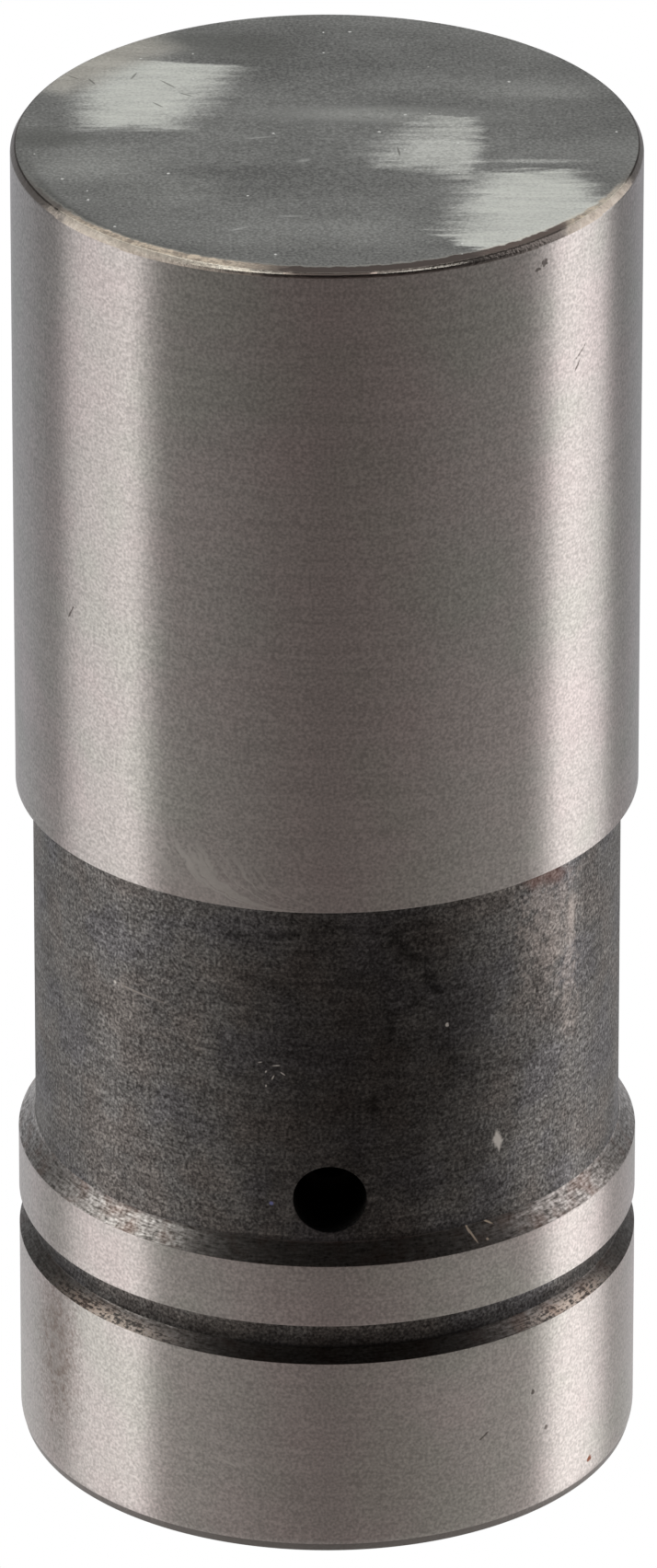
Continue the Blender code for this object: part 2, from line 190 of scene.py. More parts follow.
DARKEST_BEARING = math.radians(6.0)
room = bpy.data.worlds.new("room")
room.use_nodes = True
room_tree = room.node_tree
room_tree.nodes.clear()
view_direction = add_node(room_tree, "ShaderNodeTexCoord", out="Generated")
direction = add_node(room_tree, "ShaderNodeSeparateXYZ", {"Vector": view_direction}, out=None)
backwards = add_node(room_tree, "ShaderNodeVectorMath", {
    0: view_direction, 1: (-math.sin(DARKEST_BEARING), math.cos(DARKEST_BEARING), 0.0),
}, operation="DOT_PRODUCT", out="Value")
depth = add_node(room_tree, "ShaderNodeMapRange", {"Value": backwards, "From Min": -1.0, "From Max": 1.0})
low_room = add_node(
    room_tree,
    "ShaderNodeValToRGB",
    {"Fac": depth},
    stops=(
        (0.05, "#6f6260"),
        (0.1, "#726c69"),
        (0.17, "#7f7b78"),
        (0.3, "#898683"),
        (0.76, "#8e8d8d"),
        (0.93, "#b1b2b5"),
        (1.0, "#cdced2"),
    ),
)
high_room = add_node(room_tree, "ShaderNodeValToRGB", {
    "Fac": depth,
}, stops=((0.0, "#0b0908"), (0.45, "#302e2c"), (0.8, "#666563"), (1.0, "#80817f")))
above = add_node(room_tree, "ShaderNodeMapRange", {
    "Value": direction["Z"], "From Min": -0.15, "From Max": 0.3,
}, interpolation_type="SMOOTHSTEP")
room_tone = add_node(room_tree, "ShaderNodeMix", {0: above, 6: low_room, 7: high_room}, data_type="RGBA", out=2)
room_light = add_node(room_tree, "ShaderNodeBackground", {"Color": room_tone, "Strength": 1.0})
backdrop = add_node(room_tree, "ShaderNodeBackground", {"Color": hex_linear("#ffffff"), "Strength": 1.0})
room_seen = add_node(room_tree, "ShaderNodeLightPath", out="Is Camera Ray")
room_mix = add_node(room_tree, "ShaderNodeMixShader", {"Fac": room_seen, 1: room_light, 2: backdrop})
add_node(room_tree, "ShaderNodeOutputWorld", {"Surface": room_mix}, out=None)
bpy.context.scene.world = room
bpy.context.scene.view_settings.view_transform = "Standard"


# Lifter body: one piece of hardened steel, turned from bar, then ground on the foot and on the bands that run in
# the engine's bore. The waist, the groove and the shoulder keep the dark skin of the heat treatment.
MM = 0.001
BODY_SEGMENTS = 256
BODY_RADIUS = 12.0
WAIST_RADIUS = 11.333
GROOVE_RADIUS = 11.4
BODY_LENGTH = 54.4
FOOT_CROWN = 0.04
WAIST_TOP = 27.7
WAIST_BOTTOM = 13.25
BAND_TOP = 12.5
GROOVE_TOP = 9.9
GROOVE_SLOPE_TOP = 8.73
GROOVE_BOTTOM = 8.25
MOUTH_EDGE = 0.45
MOUTH_CHAMFER = 0.12
FOOT_EDGE = 0.3
FOOT_RADIUS = 11.82
BORE_RADIUS = 8.25
BORE_END = 45.8
BORE_LEAD = 0.5
RING_GROOVE_FOOT = 1.72
RING_GROOVE_TOP = 3.08
RING_GROOVE_DEPTH = 0.65
OIL_HOLE_RADIUS = 1.41
OIL_HOLE_HEIGHT = 15.05
OIL_RECESS_HALF = 1.71
OIL_RECESS_DEPTH = 0.4
AXIS_RING = 0.4
FOOT_CORNER_ROUND = 0.07
FOOT_CORNER_REACH = 0.15
FRONT_RISE = 0.17
FRONT_RISE_REACH = 13.0


def turned_piece(name, rings, segments, closed_loop=False, open_ends=False):
    """Draws a turned piece ring by ring in millimetres, each ring extruded from the last."""
    bpy.ops.object.select_all(action="DESELECT")
    radius, height = rings[0]
    if closed_loop:
        rings = rings + rings[:1]
    bpy.ops.mesh.primitive_circle_add(
        vertices=segments, radius=radius * MM, fill_type="NOTHING", location=(0.0, 0.0, 0.0), enter_editmode=True
    )
    bpy.ops.mesh.select_mode(type="VERT")
    bpy.ops.mesh.select_all(action="SELECT")
    bpy.ops.transform.translate(value=(0.0, 0.0, height * MM))
    for next_radius, next_height in rings[1:]:
        rise = (next_height - height) * MM
        bpy.ops.mesh.extrude_region_move(TRANSFORM_OT_translate={"value": (0.0, 0.0, rise)})
        grow = next_radius / radius
        bpy.ops.transform.resize(value=(grow, grow, 1.0), center_override=(0.0, 0.0, next_height * MM))
        radius, height = next_radius, next_height
    piece = bpy.context.object
    piece.name = name
    if closed_loop:
        bpy.ops.mesh.select_all(action="SELECT")
        bpy.ops.mesh.remove_doubles(threshold=0.001 * MM)
    elif not open_ends:
        for end_radius, end_height in (rings[0], rings[-1]):
            select_rings([(end_radius, end_height)])
            bpy.ops.mesh.merge(type="CENTER")
    bpy.ops.mesh.select_all(action="SELECT")
    bpy.ops.mesh.normals_make_consistent(inside=False)
    return piece


def select_where(kind, wanted):
    """In edit mode, selects the vertices, edges or faces in sight that pass a test."""
    bpy.ops.mesh.select_mode(type=kind)
    bpy.ops.mesh.select_all(action="DESELECT")
    mesh = bmesh.from_edit_mesh(bpy.context.object.data)
    for part in {"VERT": mesh.verts, "EDGE": mesh.edges, "FACE": mesh.faces}[kind]:
        part.select_set(not part.hide and wanted(part))
    mesh.select_flush_mode()
    bmesh.update_edit_mesh(bpy.context.object.data)


def select_rings(rings, reach=0.002):
    """In edit mode, selects the edges that run round the axis at the given radii and heights, in millimetres."""
    def on_ring(point, ring):
        return abs(math.hypot(point.x, point.y) / MM - ring[0]) < reach and abs(point.z / MM - ring[1]) < reach

    select_where("EDGE", lambda edge: any(all(on_ring(vertex.co, ring) for vertex in edge.verts) for ring in rings))


def round_rings(rings, width, segments=3):
    """In edit mode, rounds the corners at the given rings."""
    select_rings(rings)
    bpy.ops.mesh.bevel(offset=width * MM, segments=segments, affect="EDGES")


def finish_shading(piece, angle=32.0):
    """Leaves edit mode, shades the piece smooth up to an angle and lets its large faces set the normals."""
    bpy.ops.object.mode_set(mode="OBJECT")
    bpy.ops.object.select_all(action="DESELECT")
    piece.select_set(True)
    bpy.context.view_layer.objects.active = piece
    bpy.ops.object.shade_smooth_by_angle(angle=math.radians(angle))
    bpy.ops.object.modifier_add(type="WEIGHTED_NORMAL")
    piece.modifiers[-1].keep_sharp = True
    bpy.ops.object.modifier_apply(modifier=piece.modifiers[-1].name)


crown_rings = [
    (radius, BODY_LENGTH - FOOT_CROWN * (radius / BODY_RADIUS) ** 2)
    for radius in (AXIS_RING, 3.0, 6.0, 9.0, FOOT_RADIUS)
]
outside_rings = [
    (BODY_RADIUS, BODY_LENGTH - FOOT_EDGE),
    (BODY_RADIUS, WAIST_TOP),
    (WAIST_RADIUS, WAIST_TOP),
    (WAIST_RADIUS, WAIST_BOTTOM),
    (BODY_RADIUS, BAND_TOP),
    (BODY_RADIUS, GROOVE_TOP),
    (GROOVE_RADIUS, GROOVE_TOP),
    (GROOVE_RADIUS, GROOVE_SLOPE_TOP),
    (BODY_RADIUS, GROOVE_BOTTOM),
    (BODY_RADIUS, MOUTH_EDGE),
    (BODY_RADIUS - MOUTH_CHAMFER, 0.0),
]
bore_rings = [
    (BORE_RADIUS + BORE_LEAD, 0.0),
    (BORE_RADIUS, BORE_LEAD),
    (BORE_RADIUS, RING_GROOVE_FOOT),
    (BORE_RADIUS + RING_GROOVE_DEPTH, RING_GROOVE_FOOT),
    (BORE_RADIUS + RING_GROOVE_DEPTH, RING_GROOVE_TOP),
    (BORE_RADIUS, RING_GROOVE_TOP),
    (BORE_RADIUS, OIL_HOLE_HEIGHT - OIL_RECESS_HALF - OIL_RECESS_DEPTH),
    (BORE_RADIUS + OIL_RECESS_DEPTH, OIL_HOLE_HEIGHT - OIL_RECESS_HALF),
    (BORE_RADIUS + OIL_RECESS_DEPTH, OIL_HOLE_HEIGHT + OIL_RECESS_HALF),
    (BORE_RADIUS, OIL_HOLE_HEIGHT + OIL_RECESS_HALF + OIL_RECESS_DEPTH),
    (BORE_RADIUS, BORE_END),
    (AXIS_RING, BORE_END),
]
lifter_body = turned_piece("body_turned_and_ground", crown_rings + outside_rings + bore_rings, BODY_SEGMENTS)
for corners, width, steps in (
    ([(FOOT_RADIUS, crown_rings[-1][1])], 0.03, 2),
    ([(BODY_RADIUS, BODY_LENGTH - FOOT_EDGE)], FOOT_CORNER_ROUND, 3),
    ([(BODY_RADIUS, MOUTH_EDGE)], 0.12, 4),
    ([(BODY_RADIUS, height) for height in (WAIST_TOP, BAND_TOP, GROOVE_TOP, GROOVE_BOTTOM)], 0.025, 2),
    ([(WAIST_RADIUS, WAIST_TOP), (WAIST_RADIUS, WAIST_BOTTOM)], 0.2, 4),
    ([(GROOVE_RADIUS, GROOVE_TOP), (GROOVE_RADIUS, GROOVE_SLOPE_TOP)], 0.12, 3),
    ([(BODY_RADIUS - MOUTH_CHAMFER, 0.0)], 0.03, 2),
    ([(BORE_RADIUS + BORE_LEAD, 0.0), (BORE_RADIUS, BORE_LEAD)], 0.05, 2),
    ([(BORE_RADIUS, BORE_END)], 0.8, 6),
):
    round_rings(corners, width, steps)

# The stoned edge is uneven: at the front it has been taken down least, so its lower corner rises there and sinks
# again towards the sides
select_where("VERT", lambda vertex: (
    math.hypot(vertex.co.x, vertex.co.y) > (BODY_RADIUS - FOOT_CORNER_ROUND) * MM
    and vertex.co.z > (BODY_LENGTH - FOOT_EDGE - FOOT_CORNER_REACH) * MM
))
bpy.ops.mesh.hide(unselected=True)
select_where("VERT", lambda vertex: vertex.co.y < 0 and abs(vertex.co.x) < 0.02 * MM)
bpy.ops.transform.translate(
    value=(0.0, 0.0, FRONT_RISE * MM), use_proportional_edit=True, proportional_edit_falloff="SMOOTH",
    proportional_size=FRONT_RISE_REACH * MM,
)
bpy.ops.mesh.reveal(select=False)
bpy.ops.object.mode_set(mode="OBJECT")


def drill_hole(piece, radius, depth):
    """Drills a round hole from -Y at the oil hole's height, from outside the piece to beyond the bore's wall."""
    bpy.ops.object.select_all(action="DESELECT")
    bpy.ops.mesh.primitive_cylinder_add(
        vertices=64,
        radius=radius * MM,
        depth=depth * MM,
        location=(0.0, -(depth / 2 + 2.0) * MM, OIL_HOLE_HEIGHT * MM),
        rotation=(math.pi / 2, 0.0, 0.0),
    )
    drill = bpy.context.object
    bpy.ops.object.select_all(action="DESELECT")
    piece.select_set(True)
    bpy.context.view_layer.objects.active = piece
    bpy.ops.object.modifier_add(type="BOOLEAN")
    piece.modifiers[-1].object = drill
    piece.modifiers[-1].solver = "EXACT"
    bpy.ops.object.modifier_apply(modifier=piece.modifiers[-1].name)
    bpy.data.objects.remove(drill, do_unlink=True)


def hole_offset(point, radius=OIL_HOLE_RADIUS):
    """How far a point is from a cross hole's wall, in millimetres."""
    return abs(math.hypot(point.x / MM, point.z / MM - OIL_HOLE_HEIGHT) - radius)


def select_hole_rim(radius, reach):
    """Enters edit mode with the edges of a cross hole's front rim selected, those further out than reach."""
    bpy.ops.object.mode_set(mode="EDIT")
    select_where("EDGE", lambda edge: all(
        hole_offset(vertex.co, radius) < 0.004 and vertex.co.y < -reach * MM for vertex in edge.verts
    ))


drill_hole(lifter_body, OIL_HOLE_RADIUS, BODY_RADIUS)
select_hole_rim(OIL_HOLE_RADIUS, 10.0)
bpy.ops.mesh.bevel(offset=0.05 * MM, segments=2, affect="EDGES")
finish_shading(lifter_body)


def new_finish(name):
    """A material with its tree and its Principled shader."""
    made = bpy.data.materials.new(name)
    made.use_nodes = True
    return made, made.node_tree, made.node_tree.nodes["Principled BSDF"]


def millimetres(tree, scale=(1.0, 1.0, 1.0)):
    """Object coordinates in millimetres, stretched by scale."""
    place = add_node(tree, "ShaderNodeTexCoord", out="Object")
    return add_node(tree, "ShaderNodeMapping", {"Vector": place, "Scale": [factor / MM for factor in scale]})


def unrolled(tree, radius):
    """Millimetres on the unrolled side: round the axis from -Y at the given radius, along it, and out from it."""
    place = add_node(tree, "ShaderNodeSeparateXYZ", {"Vector": millimetres(tree)}, out=None)
    front = add_node(tree, "ShaderNodeMath", {0: place["Y"], 1: -1.0}, operation="MULTIPLY")
    angle = add_node(tree, "ShaderNodeMath", {0: place["X"], 1: front}, operation="ARCTAN2")
    around = add_node(tree, "ShaderNodeMath", {0: angle, 1: radius}, operation="MULTIPLY")
    level = add_node(tree, "ShaderNodeCombineXYZ", {"X": place["X"], "Y": place["Y"]})
    out = add_node(tree, "ShaderNodeVectorMath", {0: level}, operation="LENGTH", out="Value")
    return add_node(tree, "ShaderNodeCombineXYZ", {"X": around, "Y": place["Z"], "Z": out})


def stirred(tree, base, *noises):
    """A value with noises added to it about zero; each comes with its spread from end to end."""
    for noise, spread in noises:
        about_zero = add_node(tree, "ShaderNodeMath", {0: noise, 1: spread, 2: -spread / 2}, operation="MULTIPLY_ADD")
        base = add_node(tree, "ShaderNodeMath", {0: base, 1: about_zero}, operation="ADD")
    return base


def merged(tree, parts):
    """One mask from several, each with its strength; where they meet, the strongest counts."""
    whole = None
    for mask, strength in parts:
        part = add_node(tree, "ShaderNodeMath", {0: mask, 1: strength}, operation="MULTIPLY")
        if whole is None:
            whole = part
        else:
            whole = add_node(tree, "ShaderNodeMath", {0: whole, 1: part}, operation="MAXIMUM")
    return whole


def coated(tree, tone, coats):
    """A tone under coats laid on in order, each a hex colour, the mask of where it lies and how much it hides."""
    for code, mask, cover in coats:
        share = add_node(tree, "ShaderNodeMath", {0: mask, 1: cover}, operation="MULTIPLY")
        tone = add_node(tree, "ShaderNodeMix", {0: share, 6: tone, 7: hex_linear(code)}, data_type="RGBA", out=2)
    return tone


def oval_mark(tree, surface, centre, reach, turn=0.0, edge=0.3, ragged=None):
    """Mask of one oval mark on a surface's millimetres, turned in degrees; ragged is a noise and its spread."""
    local = add_node(tree, "ShaderNodeMapping", {
        "Vector": surface,
        "Location": (*centre, 0.0),
        "Rotation": (0.0, 0.0, math.radians(turn)),
        "Scale": (*reach, 1000000.0),
    }, vector_type="TEXTURE")
    away = add_node(tree, "ShaderNodeVectorMath", {0: local}, operation="LENGTH", out="Value")
    if ragged is not None:
        away = stirred(tree, away, ragged)
    return add_node(tree, "ShaderNodeMapRange", {
        "Value": away, "From Min": 1.0 + edge, "From Max": 1.0 - edge,
    }, interpolation_type="SMOOTHSTEP")


def oval_marks(tree, surface, marks, edge=0.3, ragged=None):
    """Mask of a group of oval marks, each a centre, a reach and a turn."""
    return merged(tree, [(oval_mark(tree, surface, *mark, edge=edge, ragged=ragged), 1.0) for mark in marks])


# Centreless-ground steel: the wheel's marks are too fine to see and run round the body, so lights are drawn out along
# the axis. The surface keeps a fine grain, faint warm and cool clouds, a rust stain and a few handling marks.
ground, tree, shader = new_finish("centreless_ground_steel")
place = millimetres(tree)
side = unrolled(tree, BODY_RADIUS)
grain = add_node(tree, "ShaderNodeTexNoise", {"Vector": place, "Scale": 8.5, "Detail": 1.0})
feed = add_node(tree, "ShaderNodeTexNoise", {
    "Vector": millimetres(tree, (0.12, 0.12, 5.0)), "Scale": 1.0, "Detail": 3.0,
})
stain = add_node(tree, "ShaderNodeTexNoise", {"Vector": place, "Scale": 0.22, "Detail": 3.0})
stain_tone = add_node(tree, "ShaderNodeValToRGB", {
    "Fac": stain,
}, stops=((0.35, "#c8c1c0"), (0.5, "#c5c1bf"), (0.65, "#c3c2be")))
grain_tone = add_node(tree, "ShaderNodeMapRange", {
    "Value": stirred(tree, grain, (feed, 0.25)), "From Min": 0.3, "From Max": 0.7, "To Min": 0.78, "To Max": 1.22,
})
tone = add_node(tree, "ShaderNodeVectorMath", {0: stain_tone, "Scale": grain_tone}, operation="SCALE")
ragged = (grain, 1.6)
rust = oval_mark(tree, side, (-12.9, 5.6), (1.3, 2.9), edge=0.7, ragged=ragged)
pitted = add_node(tree, "ShaderNodeTexNoise", {"Vector": place, "Scale": 2.6, "Detail": 4.0, "Roughness": 0.6})
pitted = add_node(tree, "ShaderNodeMapRange", {
    "Value": pitted, "From Min": 0.46, "From Max": 0.58, "To Min": 0.2, "To Max": 0.6,
})
rust_share = add_node(tree, "ShaderNodeMath", {0: rust, 1: pitted}, operation="MULTIPLY")
rust_dot = oval_mark(tree, side, (12.06, 1.0), (0.16, 0.14), ragged=ragged)
dark_marks = oval_marks(tree, side, (
    ((-11.43, 38.0), (0.04, 0.4), -30.0),
    ((8.82, 53.4), (0.2, 0.14), 20.0),
    ((8.5, 53.2), (0.13, 0.07), 0.0),
    ((10.9, 49.0), (0.04, 0.35), -55.0),
    ((10.7, 48.5), (0.04, 0.3), -40.0),
    ((6.2, 4.2), (0.3, 0.04), 35.0),
    ((8.6, 5.4), (0.1, 0.1), 0.0),
    ((9.3, 3.6), (0.08, 0.12), 0.0),
), ragged=ragged)
light_marks = oval_mark(tree, side, (-3.98, 3.6), (0.3, 0.05), turn=-20.0, ragged=ragged)

# Rubbed arcs above the step: thin wavy lines that start steeply and flatten out to the right along the step, drawn
# as a noise along one curve, and a pale film where they meet the step
on_side = add_node(tree, "ShaderNodeSeparateXYZ", {"Vector": side}, out=None)
above_step = add_node(tree, "ShaderNodeMapRange", {
    "Value": on_side["Y"], "From Min": 27.72, "From Max": 29.62, "To Min": 0.02, "To Max": 1.0,
}, clamp=False)
above_step = add_node(tree, "ShaderNodeMath", {0: above_step, 1: 0.02}, operation="MAXIMUM")
steepness = add_node(tree, "ShaderNodeMath", {0: above_step, 1: math.e}, operation="LOGARITHM")
arc_waver = add_node(tree, "ShaderNodeTexNoise", {"Vector": place, "Scale": 1.4, "Detail": 2.0})
across_arcs = add_node(tree, "ShaderNodeMath", {0: steepness, 1: 1.1, 2: on_side["X"]}, operation="MULTIPLY_ADD")
across_arcs = stirred(tree, across_arcs, (arc_waver, 0.9))
arc_place = add_node(tree, "ShaderNodeCombineXYZ", {
    "X": add_node(tree, "ShaderNodeMath", {0: across_arcs, 1: 2.3}, operation="MULTIPLY"),
    "Y": add_node(tree, "ShaderNodeMath", {0: on_side["Y"], 1: 0.3}, operation="MULTIPLY"),
})
arcs = add_node(tree, "ShaderNodeTexNoise", {"Vector": arc_place, "Scale": 1.0, "Detail": 1.0})
arc_patch = oval_mark(tree, side, (-3.7, 28.6), (2.9, 0.95), turn=-20.0, edge=0.45, ragged=(grain, 0.64))
arc_film = oval_mark(tree, side, (-4.3, 28.1), (1.6, 0.5), turn=-10.0, edge=0.8, ragged=ragged)
arc_lines = add_node(tree, "ShaderNodeMapRange", {"Value": arcs, "From Min": 0.5, "From Max": 0.57})
arc_lines = add_node(tree, "ShaderNodeMath", {0: arc_lines, 1: arc_patch}, operation="MULTIPLY")
light_marks = merged(tree, ((light_marks, 1.0), (arc_lines, 1.0), (arc_film, 0.25)))
tone = coated(tree, tone, (
    ("#816c60", rust_share, 1.0),
    ("#7d4a33", rust_dot, 1.0),
    ("#4b423d", dark_marks, 0.75),
    ("#fffcf8", light_marks, 0.65),
))
rough = add_node(tree, "ShaderNodeMapRange", {
    "Value": stain, "From Min": 0.3, "From Max": 0.7, "To Min": 0.31, "To Max": 0.34,
})
rough = add_node(tree, "ShaderNodeMath", {
    0: rough, 1: add_node(tree, "ShaderNodeMath", {0: light_marks, 1: 0.08}, operation="MULTIPLY"),
}, operation="ADD")
around = add_node(tree, "ShaderNodeTangent", direction_type="RADIAL", axis="Z")
grain_bump = add_node(tree, "ShaderNodeBump", {"Height": grain, "Strength": 0.3, "Distance": 0.004 * MM})
fill_sockets(tree, shader, {
    "Base Color": tone, "Roughness": rough, "Metallic": 1.0, "Anisotropic": 0.96, "Anisotropic Rotation": 0.25,
    "Tangent": around, "Normal": grain_bump,
})


def straight_sided_mark(tree, surface, sides, ragged):
    """Mask of a mark with straight sides; each side is a point, the way in as an angle in degrees, and its softness."""
    mask = None
    for point, inward, softness in sides:
        way = (math.cos(math.radians(inward)), math.sin(math.radians(inward)), 0.0)
        offset = point[0] * way[0] + point[1] * way[1]
        inside = add_node(tree, "ShaderNodeVectorMath", {0: surface, 1: way}, operation="DOT_PRODUCT", out="Value")
        side = add_node(tree, "ShaderNodeMapRange", {
            "Value": stirred(tree, inside, ragged), "From Min": offset - softness, "From Max": offset + softness,
        }, interpolation_type="SMOOTHSTEP")
        if mask is None:
            mask = side
        else:
            mask = add_node(tree, "ShaderNodeMath", {0: mask, 1: side}, operation="MINIMUM")
    return mask


# Unground steel: turned, then covered by the thin black oxide of the heat treatment. It is a dull dark coat, speckled
# at 0.15 mm, with darker cracks and blotches, a paler streak, a few scratches and chips, and specks of lint. Its front
# and the groove's floor towards its lower corner are painted darker as shade.
skin, tree, shader = new_finish("heat_treated_oxide_skin")
place = millimetres(tree)
side = unrolled(tree, WAIST_RADIUS)
grain = add_node(tree, "ShaderNodeTexNoise", {"Vector": place, "Scale": 8.5, "Detail": 2.0, "Roughness": 0.6})
mottle = add_node(tree, "ShaderNodeTexNoise", {"Vector": place, "Scale": 0.55, "Detail": 5.0, "Roughness": 0.62})
turning = add_node(tree, "ShaderNodeTexNoise", {
    "Vector": millimetres(tree, (0.5, 0.5, 6.0)), "Scale": 1.0, "Detail": 3.0,
})
drips = add_node(tree, "ShaderNodeTexNoise", {
    "Vector": add_node(tree, "ShaderNodeMapping", {"Vector": side, "Scale": (0.8, 0.06, 1.0)}),
    "Scale": 1.0,
    "Detail": 2.0,
})
speckle = stirred(tree, grain, (mottle, 0.14), (turning, 0.3), (drips, 0.16))
tone = add_node(tree, "ShaderNodeValToRGB", {
    "Fac": speckle,
}, stops=((0.25, "#4a4745"), (0.42, "#6b6866"), (0.55, "#868380"), (0.68, "#a29f9b"), (0.82, "#c2beba")))
tint = add_node(tree, "ShaderNodeTexNoise", {"Vector": place, "Scale": 0.35, "Detail": 3.0})
tint_tone = add_node(tree, "ShaderNodeValToRGB", {
    "Fac": tint,
}, stops=((0.38, "#eef3fc"), (0.5, "#f4f8fb"), (0.64, "#f8f7f7")))
tone = add_node(tree, "ShaderNodeVectorMath", {0: tone, 1: tint_tone}, operation="MULTIPLY")
ragged = (grain, 1.5)
torn = (mottle, 4.0)
cracks = add_node(tree, "ShaderNodeTexNoise", {"Vector": place, "Scale": 2.4, "Detail": 4.0, "Roughness": 0.65})
cracked = (cracks, 6.0)
# A broad patch at the front of the waist, towards the camera, painted darker: painted shade
front_shade_patch = oval_mark(tree, side, (1.6, 20.5), (5.0, 9.5), edge=0.8, ragged=(mottle, 0.8))
blotches = oval_marks(tree, side, (
    ((2.9, 25.6), (1.0, 0.25), -40.0),
    ((3.8, 24.4), (0.5, 0.2), -60.0),
    ((4.2, 23.7), (0.3, 0.25), 0.0),
    ((3.5, 23.3), (0.3, 0.15), 20.0),
    ((2.3, 22.3), (0.2, 0.7), -8.0),
    ((1.6, 19.1), (0.2, 0.4), 0.0),
    ((0.3, 26.72), (0.5, 0.1), 0.0),
    ((2.2, 26.3), (0.8, 0.2), -10.0),
    ((4.9, 20.6), (0.3, 0.2), 30.0),
    ((3.0, 21.4), (0.25, 0.3), 0.0),
    ((-1.2, 26.4), (1.2, 0.15), 4.0),
    ((-3.4, 26.2), (0.6, 0.12), 8.0),
), edge=0.8, ragged=cracked)
light_streak = merged(tree, (
    (oval_mark(tree, side, (10.87, 24.8), (0.24, 0.9), edge=0.6, ragged=ragged), 1.0),
    (oval_mark(tree, side, (10.75, 23.4), (0.45, 2.4), edge=0.8, ragged=cracked), 0.6),
    (oval_mark(tree, side, (9.6, 25.2), (1.1, 2.2), turn=15.0, edge=0.9, ragged=cracked), 0.6),
))
light_streak = add_node(tree, "ShaderNodeMath", {
    0: light_streak, 1: add_node(tree, "ShaderNodeMath", {0: grain, 1: 1.1}, operation="MULTIPLY"),
}, operation="MULTIPLY")
rusty = oval_mark(tree, side, (9.6, 27.0), (1.4, 0.35), turn=-12.0, edge=0.6, ragged=torn)
chip = straight_sided_mark(tree, side, (
    ((6.72, 16.8), -33.0, 0.08),
    ((6.96, 16.74), -152.0, 0.08),
    ((7.0, 16.26), 163.0, 0.08),
    ((6.79, 16.31), 31.0, 0.08),
), (grain, 0.15))
nicks = oval_marks(tree, side, (
    ((4.6, 22.1), (0.07, 0.08), 0.0),
    ((-9.15, 22.68), (0.07, 0.07), 0.0),
    ((-2.07, 20.76), (0.15, 0.025), 8.0),
    ((-1.82, 20.44), (0.1, 0.025), -35.0),
    ((-2.46, 20.47), (0.06, 0.03), 60.0),
    ((-2.2, 20.22), (0.025, 0.1), -25.0),
    ((-2.46, 19.85), (0.03, 0.05), 0.0),
    ((-2.7, 20.84), (0.09, 0.02), 15.0),
), ragged=ragged)
light_marks = merged(tree, ((chip, 1.0), (nicks, 1.0)))
scratch = oval_mark(tree, side, (-8.0, 22.65), (1.2, 0.035), turn=-3.0, edge=0.5, ragged=(grain, 3.5))
blue_speck = oval_mark(tree, side, (-2.26, 14.8), (0.08, 0.08))
# The groove's floor painted darker towards its lower corner: painted shade in the recess
groove_floor_shade = add_node(tree, "ShaderNodeMapRange", {
    "Value": add_node(tree, "ShaderNodeSeparateXYZ", {"Vector": side}, out="Y"), "From Min": 9.75, "From Max": 9.0,
})
tone = coated(tree, tone, (
    ("#1b1715", front_shade_patch, 0.7),
    ("#0c0a09", blotches, 0.5),
    ("#d6ccc6", light_streak, 1.0),
    ("#6e453b", rusty, 0.55),
    ("#f2efea", light_marks, 0.9),
    ("#b9b2ab", scratch, 0.55),
    ("#8d93c8", blue_speck, 1.0),
    ("#161210", groove_floor_shade, 0.6),
))
bare = add_node(tree, "ShaderNodeMapRange", {"Value": light_marks, "To Min": 1.0, "To Max": 0.35})
rough = add_node(tree, "ShaderNodeMapRange", {
    "Value": speckle, "From Min": 0.3, "From Max": 0.7, "To Min": 0.62, "To Max": 0.46,
})
grain_bump = add_node(tree, "ShaderNodeBump", {"Height": speckle, "Strength": 0.6, "Distance": 0.015 * MM})
fill_sockets(tree, shader, {"Base Color": tone, "Metallic": bare, "Roughness": rough, "Normal": grain_bump})

# Turned steel of the shoulder and the groove's slope: the oxide is thin on its tool marks, so it glitters in short
# bright and dark dashes where a light strikes it, with a little rust. The slope is painted darker as shade, except
# at flecks on its left and right where a light falls on it, which are painted pale as highlight, and a few lint fibres
# lie on the shoulder.
turned, tree, shader = new_finish("turned_steel_thin_oxide")
place = millimetres(tree)
side = unrolled(tree, WAIST_RADIUS)
tool_marks = add_node(tree, "ShaderNodeTexNoise", {
    "Vector": add_node(tree, "ShaderNodeMapping", {"Vector": side, "Scale": (2.2, 12.0, 12.0)}),
    "Scale": 1.0,
    "Detail": 3.0,
    "Roughness": 0.65,
})
flecks = add_node(tree, "ShaderNodeTexNoise", {"Vector": place, "Scale": 7.0, "Detail": 2.0})
broken_marks = stirred(tree, tool_marks, (flecks, 0.7))
tone = add_node(tree, "ShaderNodeValToRGB", {
    "Fac": broken_marks,
}, stops=((0.3, "#605d5a"), (0.43, "#8c8885"), (0.55, "#a9a5a2"), (0.7, "#cfccca")))
rust = add_node(tree, "ShaderNodeTexNoise", {"Vector": place, "Scale": 0.9, "Detail": 4.0})
rust_share = add_node(tree, "ShaderNodeMapRange", {"Value": rust, "From Min": 0.5, "From Max": 0.66, "To Max": 0.35})
scaled = (broken_marks, 3.0)
# Flecks on the slope's left and right, where the softboxes' light falls, painted pale: painted highlight
lit_flecks = oval_marks(tree, side, (
    ((-9.4, 8.36), (2.6, 0.2)),
    ((10.4, 8.36), (2.2, 0.2)),
), edge=0.9, ragged=scaled)
on_mark = add_node(tree, "ShaderNodeMapRange", {"Value": broken_marks, "From Min": 0.44, "From Max": 0.56})
lit_flecks = add_node(tree, "ShaderNodeMath", {0: lit_flecks, 1: on_mark}, operation="MULTIPLY")
in_groove = add_node(tree, "ShaderNodeSeparateXYZ", {"Vector": side}, out="Y")
in_groove = add_node(tree, "ShaderNodeMath", {0: in_groove, 1: 10.5}, operation="LESS_THAN")
